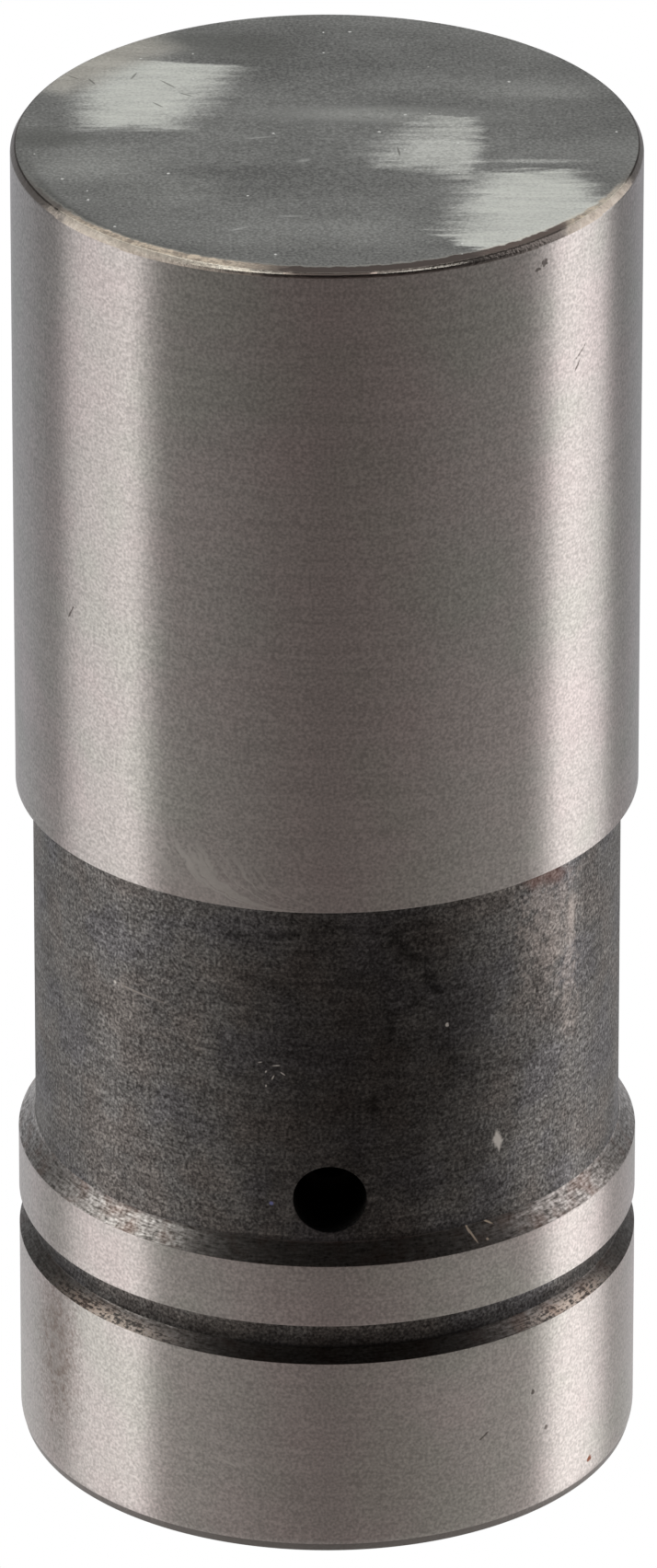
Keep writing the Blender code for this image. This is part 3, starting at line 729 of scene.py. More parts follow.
# The groove's slope painted darker, except at the lit flecks: painted shade
slope_shade_share = add_node(tree, "ShaderNodeMath", {
    0: add_node(tree, "ShaderNodeMath", {0: in_groove, 1: lit_flecks}, operation="SUBTRACT"), 1: 0.0,
}, operation="MAXIMUM")
fleck_highlight_share = add_node(tree, "ShaderNodeMath", {0: lit_flecks, 1: in_groove}, operation="MULTIPLY")
fibres = oval_marks(tree, side, (
    ((5.42, 13.3), (0.04, 0.28), 8.0),
    ((5.55, 12.95), (0.04, 0.3), 24.0),
    ((6.35, 13.2), (0.22, 0.035), -32.0),
    ((6.1, 12.7), (0.05, 0.04), 0.0),
))
tone = coated(tree, tone, (
    ("#7e5b4b", rust_share, 1.0),
    ("#3f3b38", slope_shade_share, 0.64),
    ("#ddc4ac", fleck_highlight_share, 0.4),
    ("#ffeed8", fibres, 1.0),
))
bare = add_node(tree, "ShaderNodeMath", {0: 1.0, 1: fibres}, operation="SUBTRACT")
rough = add_node(tree, "ShaderNodeMapRange", {
    "Value": broken_marks, "From Min": 0.35, "From Max": 0.65, "To Min": 0.38, "To Max": 0.3,
})
rough = add_node(tree, "ShaderNodeMath", {
    0: rough, 1: add_node(tree, "ShaderNodeMath", {0: fibres, 1: 0.5}, operation="MULTIPLY"),
}, operation="ADD")
mark_bump = add_node(tree, "ShaderNodeBump", {"Height": broken_marks, "Strength": 0.18, "Distance": 0.012 * MM})
fill_sockets(tree, shader, {"Base Color": tone, "Metallic": bare, "Roughness": rough, "Normal": mark_bump})

# Broken edges: the ring round the foot and the mouth's chamfer, stoned by hand after grinding. The ring is painted pale
# as highlight in two stretches at the front where the lights fall and painted darker as shade elsewhere, darkest on its
# top corner, and the chamfer, facing down, is painted darker all round as shade.
stoned, tree, shader = new_finish("stoned_edge_steel")
place = millimetres(tree)
chatter = add_node(tree, "ShaderNodeTexNoise", {"Vector": place, "Scale": 1.8, "Detail": 4.0})
fine = add_node(tree, "ShaderNodeTexNoise", {"Vector": place, "Scale": 8.0, "Detail": 1.0})
tone = add_node(tree, "ShaderNodeValToRGB", {
    "Fac": stirred(tree, chatter, (fine, 0.7)),
}, stops=((0.3, "#b8aea3"), (0.5, "#e2d8cd"), (0.7, "#fff8ee")))
height = add_node(tree, "ShaderNodeSeparateXYZ", {"Vector": place}, out="Z")
# The mouth's chamfer, facing down, painted darker all round: painted shade
chamfer_shade = add_node(tree, "ShaderNodeMapRange", {
    "Value": height, "From Min": 1.0, "From Max": 2.0, "To Min": 1.0, "To Max": 0.0,
})
side = unrolled(tree, BODY_RADIUS)
uneven = (chatter, 1.2)
# Two stretches of the ring, where the lights fall, painted pale: painted highlight
lit_stretch_highlight = merged(tree, (
    (oval_mark(tree, side, (-7.6, BODY_LENGTH), (4.6, 9.0), edge=0.25, ragged=uneven), 1.0),
    (oval_mark(tree, side, (12.7, BODY_LENGTH), (2.3, 9.0), edge=0.3, ragged=uneven), 1.0),
))
# The rest of the ring painted darker, and its top corner darker still: painted shade
ring_shade = add_node(tree, "ShaderNodeMath", {0: 1.0, 1: lit_stretch_highlight}, operation="SUBTRACT")
ring_shade = add_node(tree, "ShaderNodeMath", {0: ring_shade, 1: chamfer_shade}, operation="SUBTRACT")
upper_corner = add_node(tree, "ShaderNodeMath", {0: height, 1: BODY_LENGTH - 0.08}, operation="GREATER_THAN")
corner_shade = add_node(tree, "ShaderNodeMath", {0: ring_shade, 1: upper_corner}, operation="MULTIPLY")
ring_shade = add_node(tree, "ShaderNodeMath", {0: ring_shade, 1: 0.0}, operation="MAXIMUM")
tone = coated(tree, tone, (
    ("#7f7c7b", chamfer_shade, 0.95),
    ("#8d8783", ring_shade, 1.0),
    ("#4f4845", corner_shade, 0.85),
    ("#fff6ea", lit_stretch_highlight, 0.5),
))
rough = add_node(tree, "ShaderNodeMapRange", {"Value": lit_stretch_highlight, "To Min": 0.36, "To Max": 0.56})
chatter_bump = add_node(tree, "ShaderNodeBump", {
    "Height": add_node(tree, "ShaderNodeMath", {0: chatter, 1: fine}, operation="ADD"),
    "Strength": 0.7,
    "Distance": 0.03 * MM,
})
fill_sockets(tree, shader, {"Base Color": tone, "Metallic": 1.0, "Roughness": rough, "Normal": chatter_bump})

# Foot: ground face, greyer than the side. It is smooth where the cam has not touched it, and two patches are scuffed
# dull and painted pale as highlight, in streaks that run across it, beside cloudy tarnish, fine scratches and bright
# specks. Towards the camera the stoning has run over the rim in a narrow rubbed band, painted dark as shade, pale as
# highlight where the ring beside it is painted pale, with a painted glint along its inner edge; a thin line of painted
# shade runs inside the rim at the left front.
foot, tree, shader = new_finish("ground_foot_steel")
place = millimetres(tree)
grain = add_node(tree, "ShaderNodeTexNoise", {"Vector": place, "Scale": 8.5, "Detail": 1.0})
clouds = add_node(tree, "ShaderNodeTexNoise", {
    "Vector": millimetres(tree, (0.16, 0.34, 1.0)), "Scale": 1.0, "Detail": 4.0,
})
streaks = add_node(tree, "ShaderNodeTexNoise", {
    "Vector": millimetres(tree, (0.45, 3.2, 1.0)), "Scale": 1.0, "Detail": 4.0, "Roughness": 0.6,
})
speckle = stirred(tree, grain, (clouds, 0.8))
tone = add_node(tree, "ShaderNodeValToRGB", {
    "Fac": speckle,
}, stops=((0.25, "#939292"), (0.5, "#b4b3b3"), (0.75, "#d1d0d0")))
ragged = (streaks, 2.0)
back_core = straight_sided_mark(
    tree,
    place,
    (((-5.95, 7.45), -104.0, 0.25), ((-4.5, 4.4), 160.0, 1.4), ((-7.2, 1.35), 84.0, 0.6), ((-9.3, 3.2), 6.0, 1.3)),
    (streaks, 1.3),
)
back_rim = straight_sided_mark(
    tree, place, (((-7.4, 7.2), 136.0, 0.9), ((-6.2, 9.4), -150.0, 0.9), ((-9.9, 4.6), 50.0, 0.9)), (clouds, 2.0),
)
upper_patch = straight_sided_mark(tree, place, (
    ((2.9, 0.3), -26.0, 1.3),
    ((5.0, 2.35), -92.0, 0.3),
    ((5.65, 0.0), 178.0, 0.45),
    ((4.0, -2.9), 66.0, 0.8),
    ((2.4, -2.5), 35.0, 0.7),
), (streaks, 2.2))
upper_streaks = oval_mark(tree, place, (1.9, 2.35), (3.4, 0.6), turn=-3.0, edge=0.8, ragged=(speckle, 2.6))
front_patch = straight_sided_mark(
    tree,
    place,
    (((7.0, -2.9), -90.0, 0.5), ((5.2, -6.0), -15.0, 1.5), ((4.9, -8.9), 45.0, 0.4), ((9.7, -4.3), 206.0, 0.9)),
    (streaks, 2.2),
)
on_foot = add_node(tree, "ShaderNodeMapping", {"Vector": place, "Scale": (1.0, 1.0, 0.0)})
from_axis = add_node(tree, "ShaderNodeVectorMath", {0: on_foot}, operation="LENGTH", out="Value")
short_of_rim = add_node(tree, "ShaderNodeMapRange", {
    "Value": stirred(tree, from_axis, (clouds, 2.0)), "From Min": 9.3, "From Max": 10.6, "To Min": 1.0, "To Max": 0.6,
})
back_core = add_node(tree, "ShaderNodeMath", {0: back_core, 1: short_of_rim}, operation="MULTIPLY")
# Two scuffed patches, rougher and painted pale: wear with a painted highlight
worn_and_highlight = [(back_core, 1.0), (back_rim, 0.5), (upper_patch, 0.6), (upper_streaks, 0.28), (front_patch, 1.0)]
for centre, reach, share in (
    ((8.2, 4.4), (2.6, 0.8), 0.1),
    ((-8.6, -2.0), (2.4, 1.5), 0.16),
    ((-5.9, -4.3), (2.0, 1.1), 0.16),
    ((7.8, -1.9), (1.6, 0.16), 0.4),
    ((1.5, -8.6), (6.0, 1.6), 0.04),
):
    worn_and_highlight.append((oval_mark(tree, place, centre, reach, edge=0.8, ragged=ragged), share))
worn_and_highlight = merged(tree, worn_and_highlight)
streak_share = add_node(tree, "ShaderNodeMapRange", {
    "Value": stirred(tree, streaks, (grain, 0.35)), "From Min": 0.3, "From Max": 0.7, "To Min": 0.62, "To Max": 1.1,
})
worn_and_highlight = add_node(tree, "ShaderNodeMath", {0: worn_and_highlight, 1: streak_share}, operation="MULTIPLY")
scaly = merged(tree, (
    (oval_mark(tree, place, (-4.6, 9.0), (2.4, 1.3), turn=-12.0, edge=0.6, ragged=(clouds, 2.0)), 1.0),
    (oval_mark(tree, place, (-10.6, 0.5), (1.5, 0.8), edge=0.6, ragged=ragged), 1.0),
))
# A thin line inside the rim at the left front, painted darker: painted shade
near_rim = add_node(tree, "ShaderNodeMapRange", {
    "Value": stirred(tree, from_axis, (grain, 0.3)), "From Min": 11.15, "From Max": 11.4,
}, interpolation_type="SMOOTHSTEP")
left_front = add_node(tree, "ShaderNodeVectorMath", {
    0: place, 1: (-0.55, -0.83, 0.0),
}, operation="DOT_PRODUCT", out="Value")
left_front = add_node(tree, "ShaderNodeMapRange", {"Value": left_front, "From Min": 6.5, "From Max": 9.5})
rim_shade_line = add_node(tree, "ShaderNodeMath", {0: near_rim, 1: left_front}, operation="MULTIPLY")
# The narrow rubbed band towards the camera stands in for a wider edge break: painted dark as shade, pale as painted
# highlight beside the ring's pale stretches
front_oval = add_node(tree, "ShaderNodeMapping", {
    "Vector": on_foot, "Location": (0.0, -0.3 / 11.55, 0.0), "Scale": (1.0 / 11.75, 1.0 / 11.55, 0.0),
})
chipped = add_node(tree, "ShaderNodeTexNoise", {"Vector": place, "Scale": 2.4, "Detail": 4.0})
past_oval = add_node(tree, "ShaderNodeVectorMath", {0: front_oval}, operation="LENGTH", out="Value")
past_oval = stirred(tree, past_oval, (chipped, 0.03))
from_back = add_node(tree, "ShaderNodeSeparateXYZ", {"Vector": place}, out="Y")
past_front = add_node(tree, "ShaderNodeMapRange", {"Value": from_back, "From Min": -2.0, "From Max": -7.0})
rubbed = add_node(tree, "ShaderNodeMapRange", {"Value": past_oval, "From Min": 1.0, "From Max": 1.006})
rubbed = add_node(tree, "ShaderNodeMath", {0: rubbed, 1: past_front}, operation="MULTIPLY")
side = unrolled(tree, BODY_RADIUS)
uneven = (chipped, 1.0)
# The ring's pale stretches again, painted highlight where the rubbed band meets them
lit_stretch_highlight = merged(tree, (
    (oval_mark(tree, side, (-7.4, BODY_LENGTH), (4.6, 9.0), edge=0.35, ragged=uneven), 1.0),
    (oval_mark(tree, side, (12.7, BODY_LENGTH), (2.3, 9.0), edge=0.3, ragged=uneven), 1.0),
))
lit_stretch_highlight = add_node(tree, "ShaderNodeMath", {0: lit_stretch_highlight, 1: rubbed}, operation="MULTIPLY")
highlight_share = add_node(tree, "ShaderNodeMapRange", {
    "Value": stirred(tree, chipped, (grain, 0.4)), "From Min": 0.38, "From Max": 0.58, "To Min": 0.4,
})
# A thin pale line along the band's inner edge: painted glint
inner_edge_glint = add_node(tree, "ShaderNodeMapRange", {"Value": past_oval, "From Min": 0.992, "From Max": 0.997})
inner_edge_glint = add_node(tree, "ShaderNodeMath", {0: inner_edge_glint, 1: rubbed}, operation="SUBTRACT")
inner_edge_glint = add_node(tree, "ShaderNodeMath", {0: inner_edge_glint, 1: past_front}, operation="MULTIPLY")
hair_marks = oval_marks(tree, place, (
    ((-6.0, 5.3), (0.04, 0.45), 38.0),
    ((-6.4, 3.4), (0.04, 0.3), 40.0),
    ((-8.9, 5.6), (0.04, 0.3), 25.0),
    ((2.7, -1.0), (0.04, 0.4), 6.0),
    ((-9.6, 6.0), (0.04, 0.25), 50.0),
    ((-5.3, 4.3), (0.04, 0.35), 55.0),
    ((-7.3, 6.1), (0.04, 0.3), -20.0),
))
pits = add_node(tree, "ShaderNodeTexVoronoi", {
    "Vector": place, "Scale": 1.0,
}, feature="F1", voronoi_dimensions="2D", out=None)
pit_size = add_node(tree, "ShaderNodeSeparateXYZ", {"Vector": pits["Color"]}, out="X")
pit_reach = add_node(tree, "ShaderNodeMapRange", {
    "Value": pit_size, "From Min": 0.86, "From Max": 1.0, "To Max": 0.065,
})
bright_specks = add_node(tree, "ShaderNodeMath", {0: pit_reach, 1: pits["Distance"]}, operation="GREATER_THAN")
dashes = oval_marks(tree, place, (
    ((-1.46, -6.8), (0.45, 0.05), 0.0),
    ((-3.4, -7.9), (0.35, 0.06), 25.0),
    ((-0.9, -1.8), (0.25, 0.12), 30.0),
    ((-2.6, 0.3), (0.5, 0.05), 10.0),
), edge=0.6, ragged=(grain, 3.0))
bright_specks = merged(tree, ((bright_specks, 0.7), (dashes, 0.25)))
chipped_highlight = add_node(tree, "ShaderNodeMath", {0: lit_stretch_highlight, 1: highlight_share}, operation="MULTIPLY")
tone = coated(tree, tone, (
    ("#f4f5f2", worn_and_highlight, 0.8),
    ("#c9beb2", back_rim, 0.4),
    ("#8a8a87", scaly, 0.5),
    ("#5c5d58", rim_shade_line, 0.4),
    ("#7a6d69", rubbed, 1.0),
    ("#eddfd0", chipped_highlight, 1.0),
    ("#f6f0e8", inner_edge_glint, 0.4),
    ("#6b6965", hair_marks, 0.6),
    ("#ffffff", bright_specks, 1.0),
))
rough = add_node(tree, "ShaderNodeMapRange", {
    "Value": merged(tree, ((worn_and_highlight, 1.0), (bright_specks, 1.0), (lit_stretch_highlight, 1.0))), "To Min": 0.3, "To Max": 0.66,
})
streak_bump = add_node(tree, "ShaderNodeBump", {
    "Height": add_node(tree, "ShaderNodeMath", {
        0: grain, 1: add_node(tree, "ShaderNodeMath", {0: streaks, 1: worn_and_highlight}, operation="MULTIPLY"),
    }, operation="ADD"),
    "Strength": 0.3,
    "Distance": 0.01 * MM,
})
fill_sockets(tree, shader, {"Base Color": tone, "Metallic": 1.0, "Roughness": rough, "Normal": streak_bump})

# Bore: honed to a fine cross-hatch, with an oily film left in it; the open end's face shares it
honed, tree, shader = new_finish("honed_bore_steel")
hone_marks = None
for turn in (32.0, -32.0):
    hatch_place = add_node(tree, "ShaderNodeMapping", {
        "Vector": unrolled(tree, BORE_RADIUS), "Rotation": (0.0, 0.0, math.radians(turn)), "Scale": (0.3, 7.0, 6.0),
    })
    hatch = add_node(tree, "ShaderNodeTexNoise", {"Vector": hatch_place, "Scale": 1.0, "Detail": 2.0})
    if hone_marks is None:
        hone_marks = hatch
    else:
        hone_marks = add_node(tree, "ShaderNodeMath", {0: hone_marks, 1: hatch}, operation="MAXIMUM")
tone = add_node(tree, "ShaderNodeValToRGB", {
    "Fac": hone_marks,
}, stops=((0.42, "#8f8983"), (0.55, "#aaa49d"), (0.7, "#cdc7c0")))
rough = add_node(tree, "ShaderNodeMapRange", {
    "Value": hone_marks, "From Min": 0.4, "From Max": 0.7, "To Min": 0.26, "To Max": 0.38,
})
hone_bump = add_node(tree, "ShaderNodeBump", {"Height": hone_marks, "Strength": 0.3, "Distance": 0.005 * MM})
fill_sockets(tree, shader, {
    "Base Color": tone, "Roughness": rough, "Metallic": 1.0, "Coat Weight": 0.25, "Coat Roughness": 0.12,
    "Normal": hone_bump,
})

for finish in (ground, skin, turned, stoned, foot, honed):
    lifter_body.data.materials.append(finish)
GROUND, SKIN, TURNED, STONED, FOOT, HONED = range(6)
NEAR_WALL = 0.05
ON_STEP = 0.001
STONED_REACH = 0.3
for face in lifter_body.data.polygons:
    centre = face.center
    radius, height = math.hypot(centre.x, centre.y) / MM, centre.z / MM
    if face.normal.z > 0.99 and height > BODY_LENGTH - FOOT_EDGE:
        face.material_index = FOOT
    elif height > BODY_LENGTH - FOOT_EDGE or (height < STONED_REACH and radius > BODY_RADIUS - STONED_REACH):
        face.material_index = STONED
    elif radius < BORE_RADIUS + RING_GROOVE_DEPTH + NEAR_WALL or height < ON_STEP:
        face.material_index = HONED
    elif hole_offset(centre) < 2 * NEAR_WALL and centre.y < 0:
        face.material_index = SKIN
    elif WAIST_BOTTOM < height < WAIST_TOP + ON_STEP and radius < BODY_RADIUS - 2 * NEAR_WALL:
        face.material_index = SKIN
    elif BAND_TOP < height < WAIST_BOTTOM:
        face.material_index = TURNED
    elif GROOVE_BOTTOM < height < GROOVE_SLOPE_TOP:
        face.material_index = TURNED
    elif GROOVE_SLOPE_TOP < height < GROOVE_TOP + ON_STEP and radius < BODY_RADIUS - 2 * NEAR_WALL:
        face.material_index = SKIN
    else:
        face.material_index = GROUND
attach(lifter_body, "body")
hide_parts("lifter_body")


# Plunger spring: oil-tempered wire wound cold into four and a half turns, the first and last laid close. It stands on
# the cage's flange and holds the plunger against the retaining ring.
SPRING_WIRE = 0.6
SPRING_RADIUS = 6.39
SPRING_FOOT = 34.722
SPRING_TURNS = 4.5
SPRING_OPEN_GAP = 1.6
CLOSED_TURNS = 0.9
CLOSED_GAP = 0.06


def close_wire_ends(sheared):
    """In edit mode, closes a wire's two open ends with faces sheared slightly hollow at their rims."""
    bpy.ops.mesh.select_all(action="DESELECT")
    bpy.ops.mesh.select_mode(type="EDGE")
    bpy.ops.mesh.select_non_manifold(extend=False)
    bpy.ops.mesh.fill_holes(sides=0)
    select_where("FACE", lambda face: len(face.verts) > 4)
    bpy.ops.mesh.bevel(offset=sheared * MM, segments=2, affect="EDGES")
    bpy.ops.mesh.select_all(action="SELECT")
    bpy.ops.mesh.normals_make_consistent(inside=False)


def wound_spring(name, radius, wire, turns, open_gap, foot, steps_per_turn, sides):
    """Winds a compression spring step by step: the wire's section is drawn on and turned about the axis."""
    bpy.ops.object.select_all(action="DESELECT")
    bpy.ops.mesh.primitive_circle_add(
        vertices=sides,
        radius=wire * MM,
        fill_type="NOTHING",
        location=(0.0, 0.0, 0.0),
        enter_editmode=True,
    )
    bpy.ops.mesh.select_mode(type="VERT")
    bpy.ops.mesh.select_all(action="SELECT")
    bpy.ops.transform.rotate(value=math.pi / 2, orient_axis="X", center_override=(0.0, 0.0, 0.0))
    bpy.ops.transform.translate(value=(radius * MM, 0.0, (foot + wire) * MM))
    steps = round(turns * steps_per_turn)
    height = 0.0
    for step in range(1, steps + 1):
        turn = turns * step / steps
        open_turn = min(max(turn - CLOSED_TURNS, 0.0), turns - 2 * CLOSED_TURNS)
        next_height = open_turn * (2 * wire + open_gap) + (turn - open_turn) * (2 * wire + CLOSED_GAP)
        bpy.ops.mesh.extrude_region_move(TRANSFORM_OT_translate={"value": (0.0, 0.0, (next_height - height) * MM)})
        bpy.ops.transform.rotate(
            value=-math.tau / steps_per_turn, orient_axis="Z", center_override=(0.0, 0.0, 0.0)
        )
        height = next_height
    spring = bpy.context.object
    spring.name = name
    close_wire_ends(0.12 * wire)
    return spring


def machined_surface(tree, shader, tone, marks, rough, bump=None, sockets=None):
    """Gives a steel its tone, a roughness that follows its marks, and a bump: a height, its strength, its depth."""
    surface = {"Base Color": tone, "Metallic": 1.0, **(sockets or {})}
    surface["Roughness"] = add_node(tree, "ShaderNodeMapRange", {
        "Value": marks, "From Min": 0.3, "From Max": 0.7, "To Min": rough[0], "To Max": rough[1],
    })
    if bump:
        height, strength, depth = bump
        surface["Normal"] = add_node(tree, "ShaderNodeBump", {
            "Height": height, "Strength": strength, "Distance": depth * MM,
        })
    fill_sockets(tree, shader, surface)


plunger_spring = wound_spring(
    "spring_wound_plunger", SPRING_RADIUS, SPRING_WIRE, SPRING_TURNS, SPRING_OPEN_GAP, SPRING_FOOT,
    steps_per_turn=48, sides=20,
)
finish_shading(plunger_spring)

# Oil-tempered wire: dark blue-brown oxide drawn into fine lines along the wire, under a film of oil
oiled, tree, shader = new_finish("oil_tempered_spring_wire")
along = add_node(tree, "ShaderNodeMapping", {"Vector": unrolled(tree, SPRING_RADIUS), "Scale": (0.25, 5.0, 5.0)})
draw_lines = add_node(tree, "ShaderNodeTexNoise", {"Vector": along, "Scale": 1.0, "Detail": 3.0})
tempering = add_node(tree, "ShaderNodeTexNoise", {"Vector": millimetres(tree), "Scale": 0.35, "Detail": 2.0})
tone = add_node(tree, "ShaderNodeValToRGB", {
    "Fac": tempering,
}, stops=((0.35, "#4c4f58"), (0.5, "#5b5652"), (0.65, "#6b5c4f")))
line_tone = add_node(tree, "ShaderNodeMapRange", {
    "Value": draw_lines, "From Min": 0.3, "From Max": 0.7, "To Min": 0.75, "To Max": 1.3,
})
tone = add_node(tree, "ShaderNodeVectorMath", {0: tone, "Scale": line_tone}, operation="SCALE")
machined_surface(tree, shader, tone, draw_lines, (0.44, 0.3), (draw_lines, 0.4, 0.01), {
    "Coat Weight": 0.4, "Coat Roughness": 0.1,
})
plunger_spring.data.materials.append(oiled)
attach(plunger_spring, "body")
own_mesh(plunger_spring)
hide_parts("plunger_spring")


# Check ball cage: a hat deep-drawn from steel sheet, with three windows punched in its wall and a vent in its crown.
# Its flange lies in the plunger's end under the big spring.
CAGE_SHEET = 0.45
CAGE_FOOT = 34.222
CAGE_CROWN = 39.578
CAGE_FLANGE = 7.14
CAGE_WALL = 2.775
CAGE_BEND = 0.6
CAGE_VENT = 0.86
WINDOW_WIDTH = 2.2
WINDOW_MARGIN = 0.55
cage_bottom = CAGE_FOOT + CAGE_SHEET / 2
cage_top = CAGE_CROWN - CAGE_SHEET / 2
wall_bottom = cage_bottom + CAGE_BEND
wall_top = cage_top - CAGE_BEND
cage_rings = [(CAGE_VENT, cage_top)]
for step in range(7):
    bend = math.radians(90 - 15 * step)
    cage_rings.append((CAGE_WALL - CAGE_BEND + CAGE_BEND * math.cos(bend), wall_top + CAGE_BEND * math.sin(bend)))
cage_rings += [(CAGE_WALL, wall_top - WINDOW_MARGIN), (CAGE_WALL, wall_bottom + WINDOW_MARGIN)]
for step in range(7):
    bend = math.radians(180 + 15 * step)
    cage_rings.append((CAGE_WALL + CAGE_BEND + CAGE_BEND * math.cos(bend), wall_bottom + CAGE_BEND * math.sin(bend)))
cage_rings.append((CAGE_FLANGE, cage_bottom))
check_ball_cage = turned_piece("cage_deep_drawn", cage_rings, 96, open_ends=True)


def beside_window(face, across, facing, half_width):
    """Whether a face's centre is in the wall, level with a window, on the window's side and within a width of it."""
    centre = face.calc_center_median() / MM
    level = wall_bottom + WINDOW_MARGIN < centre.z < wall_top - WINDOW_MARGIN
    return level and centre.dot(facing) > CAGE_WALL / 2 and abs(centre.dot(across)) < half_width


for window in range(3):
    bearing = math.radians(90 + 120 * window)
    across = Vector((-math.sin(bearing), math.cos(bearing), 0.0))
    facing = Vector((math.cos(bearing), math.sin(bearing), 0.0))
    for edge_side in (-1.0, 1.0):
        select_where("FACE", lambda face: beside_window(face, across, facing, CAGE_WALL))
        bpy.ops.mesh.bisect(plane_co=across * (edge_side * WINDOW_WIDTH / 2 * MM), plane_no=across)
    select_where("FACE", lambda face: beside_window(face, across, facing, WINDOW_WIDTH / 2))
    bpy.ops.mesh.delete(type="FACE")
bpy.ops.mesh.select_all(action="SELECT")
bpy.ops.mesh.normals_make_consistent(inside=False)
bpy.ops.object.mode_set(mode="OBJECT")
bpy.ops.object.modifier_add(type="SOLIDIFY")
check_ball_cage.modifiers[-1].thickness = CAGE_SHEET * MM
check_ball_cage.modifiers[-1].offset = 0.0
check_ball_cage.modifiers[-1].use_even_offset = True
bpy.ops.object.modifier_apply(modifier=check_ball_cage.modifiers[-1].name)
bpy.ops.object.modifier_add(type="BEVEL")
check_ball_cage.modifiers[-1].width = 0.05 * MM
check_ball_cage.modifiers[-1].segments = 2
check_ball_cage.modifiers[-1].angle_limit = math.radians(60)
bpy.ops.object.modifier_apply(modifier=check_ball_cage.modifiers[-1].name)
finish_shading(check_ball_cage)

# Deep-drawn sheet: satin grey, pulled into faint lines up the wall where the die has ironed it
drawn, tree, shader = new_finish("deep_drawn_steel_sheet")
draw_lines = add_node(tree, "ShaderNodeTexNoise", {
    "Vector": millimetres(tree, (6.0, 6.0, 0.4)), "Scale": 1.0, "Detail": 3.0,
})
orange_peel = add_node(tree, "ShaderNodeTexNoise", {"Vector": millimetres(tree), "Scale": 4.0, "Detail": 2.0})
tone = add_node(tree, "ShaderNodeValToRGB", {
    "Fac": stirred(tree, draw_lines, (orange_peel, 0.4)),
}, stops=((0.32, "#8c857a"), (0.5, "#a69f93"), (0.68, "#c2bbae")))
machined_surface(tree, shader, tone, draw_lines, (0.28, 0.42), (orange_peel, 0.4, 0.015))
check_ball_cage.data.materials.append(drawn)
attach(check_ball_cage, "plunger_assembly")
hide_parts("check_ball_cage")


# Check ball: a 4 mm ball of bearing steel, ground and polished. Its spring holds it on the seat in the plunger's end
# wall, where it closes the oil's way back.
BALL_RADIUS = 2.0
BALL_HEIGHT = 35.357
bpy.ops.object.select_all(action="DESELECT")
bpy.ops.mesh.primitive_cube_add(size=2 * BALL_RADIUS * MM, location=(0.0, 0.0, 0.0), enter_editmode=True)
bpy.ops.mesh.select_all(action="SELECT")
bpy.ops.mesh.subdivide(number_cuts=19)
check_ball = bpy.context.object
check_ball.name = "ball_ground_and_polished"
bpy.ops.transform.tosphere(value=1.0, center_override=(0.0, 0.0, 0.0))
blown_radius = max(vertex.co.length for vertex in bmesh.from_edit_mesh(check_ball.data).verts)
ground_down = BALL_RADIUS * MM / blown_radius
bpy.ops.transform.resize(value=(ground_down, ground_down, ground_down), center_override=(0.0, 0.0, 0.0))
bpy.ops.transform.translate(value=(0.0, 0.0, BALL_HEIGHT * MM))
finish_shading(check_ball)

# Polished bearing steel: bright chromium steel, its shine dulled in one thin ring where it beats on the seat
polished, tree, shader = new_finish("polished_bearing_steel")
level = add_node(tree, "ShaderNodeSeparateXYZ", {"Vector": millimetres(tree)}, out="Z")
from_contact = add_node(tree, "ShaderNodeMath", {
    0: level, 1: BALL_HEIGHT - BALL_RADIUS * math.cos(math.radians(45)),
}, operation="SUBTRACT")
from_contact = add_node(tree, "ShaderNodeMath", {0: from_contact}, operation="ABSOLUTE")
beaten = add_node(tree, "ShaderNodeMapRange", {"Value": from_contact, "From Min": 0.09, "From Max": 0.04})
haze = add_node(tree, "ShaderNodeTexNoise", {"Vector": millimetres(tree), "Scale": 2.5, "Detail": 3.0})
tone = add_node(tree, "ShaderNodeValToRGB", {"Fac": haze}, stops=((0.3, "#d0cecb"), (0.7, "#dedcd9")))
tone = coated(tree, tone, (("#b4afaa", beaten, 1.0),))
polish = add_node(tree, "ShaderNodeMapRange", {
    "Value": haze, "From Min": 0.3, "From Max": 0.7, "To Min": 0.05, "To Max": 0.09,
})
rough = add_node(tree, "ShaderNodeMath", {
    0: polish, 1: add_node(tree, "ShaderNodeMath", {0: beaten, 1: 0.22}, operation="MULTIPLY"),
}, operation="ADD")
fill_sockets(tree, shader, {"Base Color": tone, "Roughness": rough, "Metallic": 1.0})
check_ball.data.materials.append(polished)
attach(check_ball, "ball")
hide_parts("check_ball")


# Check ball spring: fine bright wire, drawn hard and wound into three and a half turns. It stands under the cage's
# crown and presses lightly on the ball.
BALL_SPRING_WIRE = 0.14
BALL_SPRING_RADIUS = 1.15
BALL_SPRING_FOOT = 37.081
BALL_SPRING_TURNS = 3.5
BALL_SPRING_OPEN_GAP = 0.37
check_ball_spring = wound_spring(
    "spring_wound_ball", BALL_SPRING_RADIUS, BALL_SPRING_WIRE, BALL_SPRING_TURNS, BALL_SPRING_OPEN_GAP,
    BALL_SPRING_FOOT, steps_per_turn=40, sides=14,
)
finish_shading(check_ball_spring)

# Bright drawn wire: pale steel polished by the die, with lines along the wire
bright_wire, tree, shader = new_finish("bright_drawn_wire")
along = add_node(tree, "ShaderNodeMapping", {
    "Vector": unrolled(tree, BALL_SPRING_RADIUS), "Scale": (1.0, 18.0, 18.0),
})
draw_lines = add_node(tree, "ShaderNodeTexNoise", {"Vector": along, "Scale": 1.0, "Detail": 2.0})
tone = add_node(tree, "ShaderNodeValToRGB", {"Fac": draw_lines}, stops=((0.3, "#a39d95"), (0.7, "#cfc9c0")))
machined_surface(tree, shader, tone, draw_lines, (0.24, 0.34))
check_ball_spring.data.materials.append(bright_wire)
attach(check_ball_spring, "plunger_assembly")
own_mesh(check_ball_spring)
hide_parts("check_ball_spring")


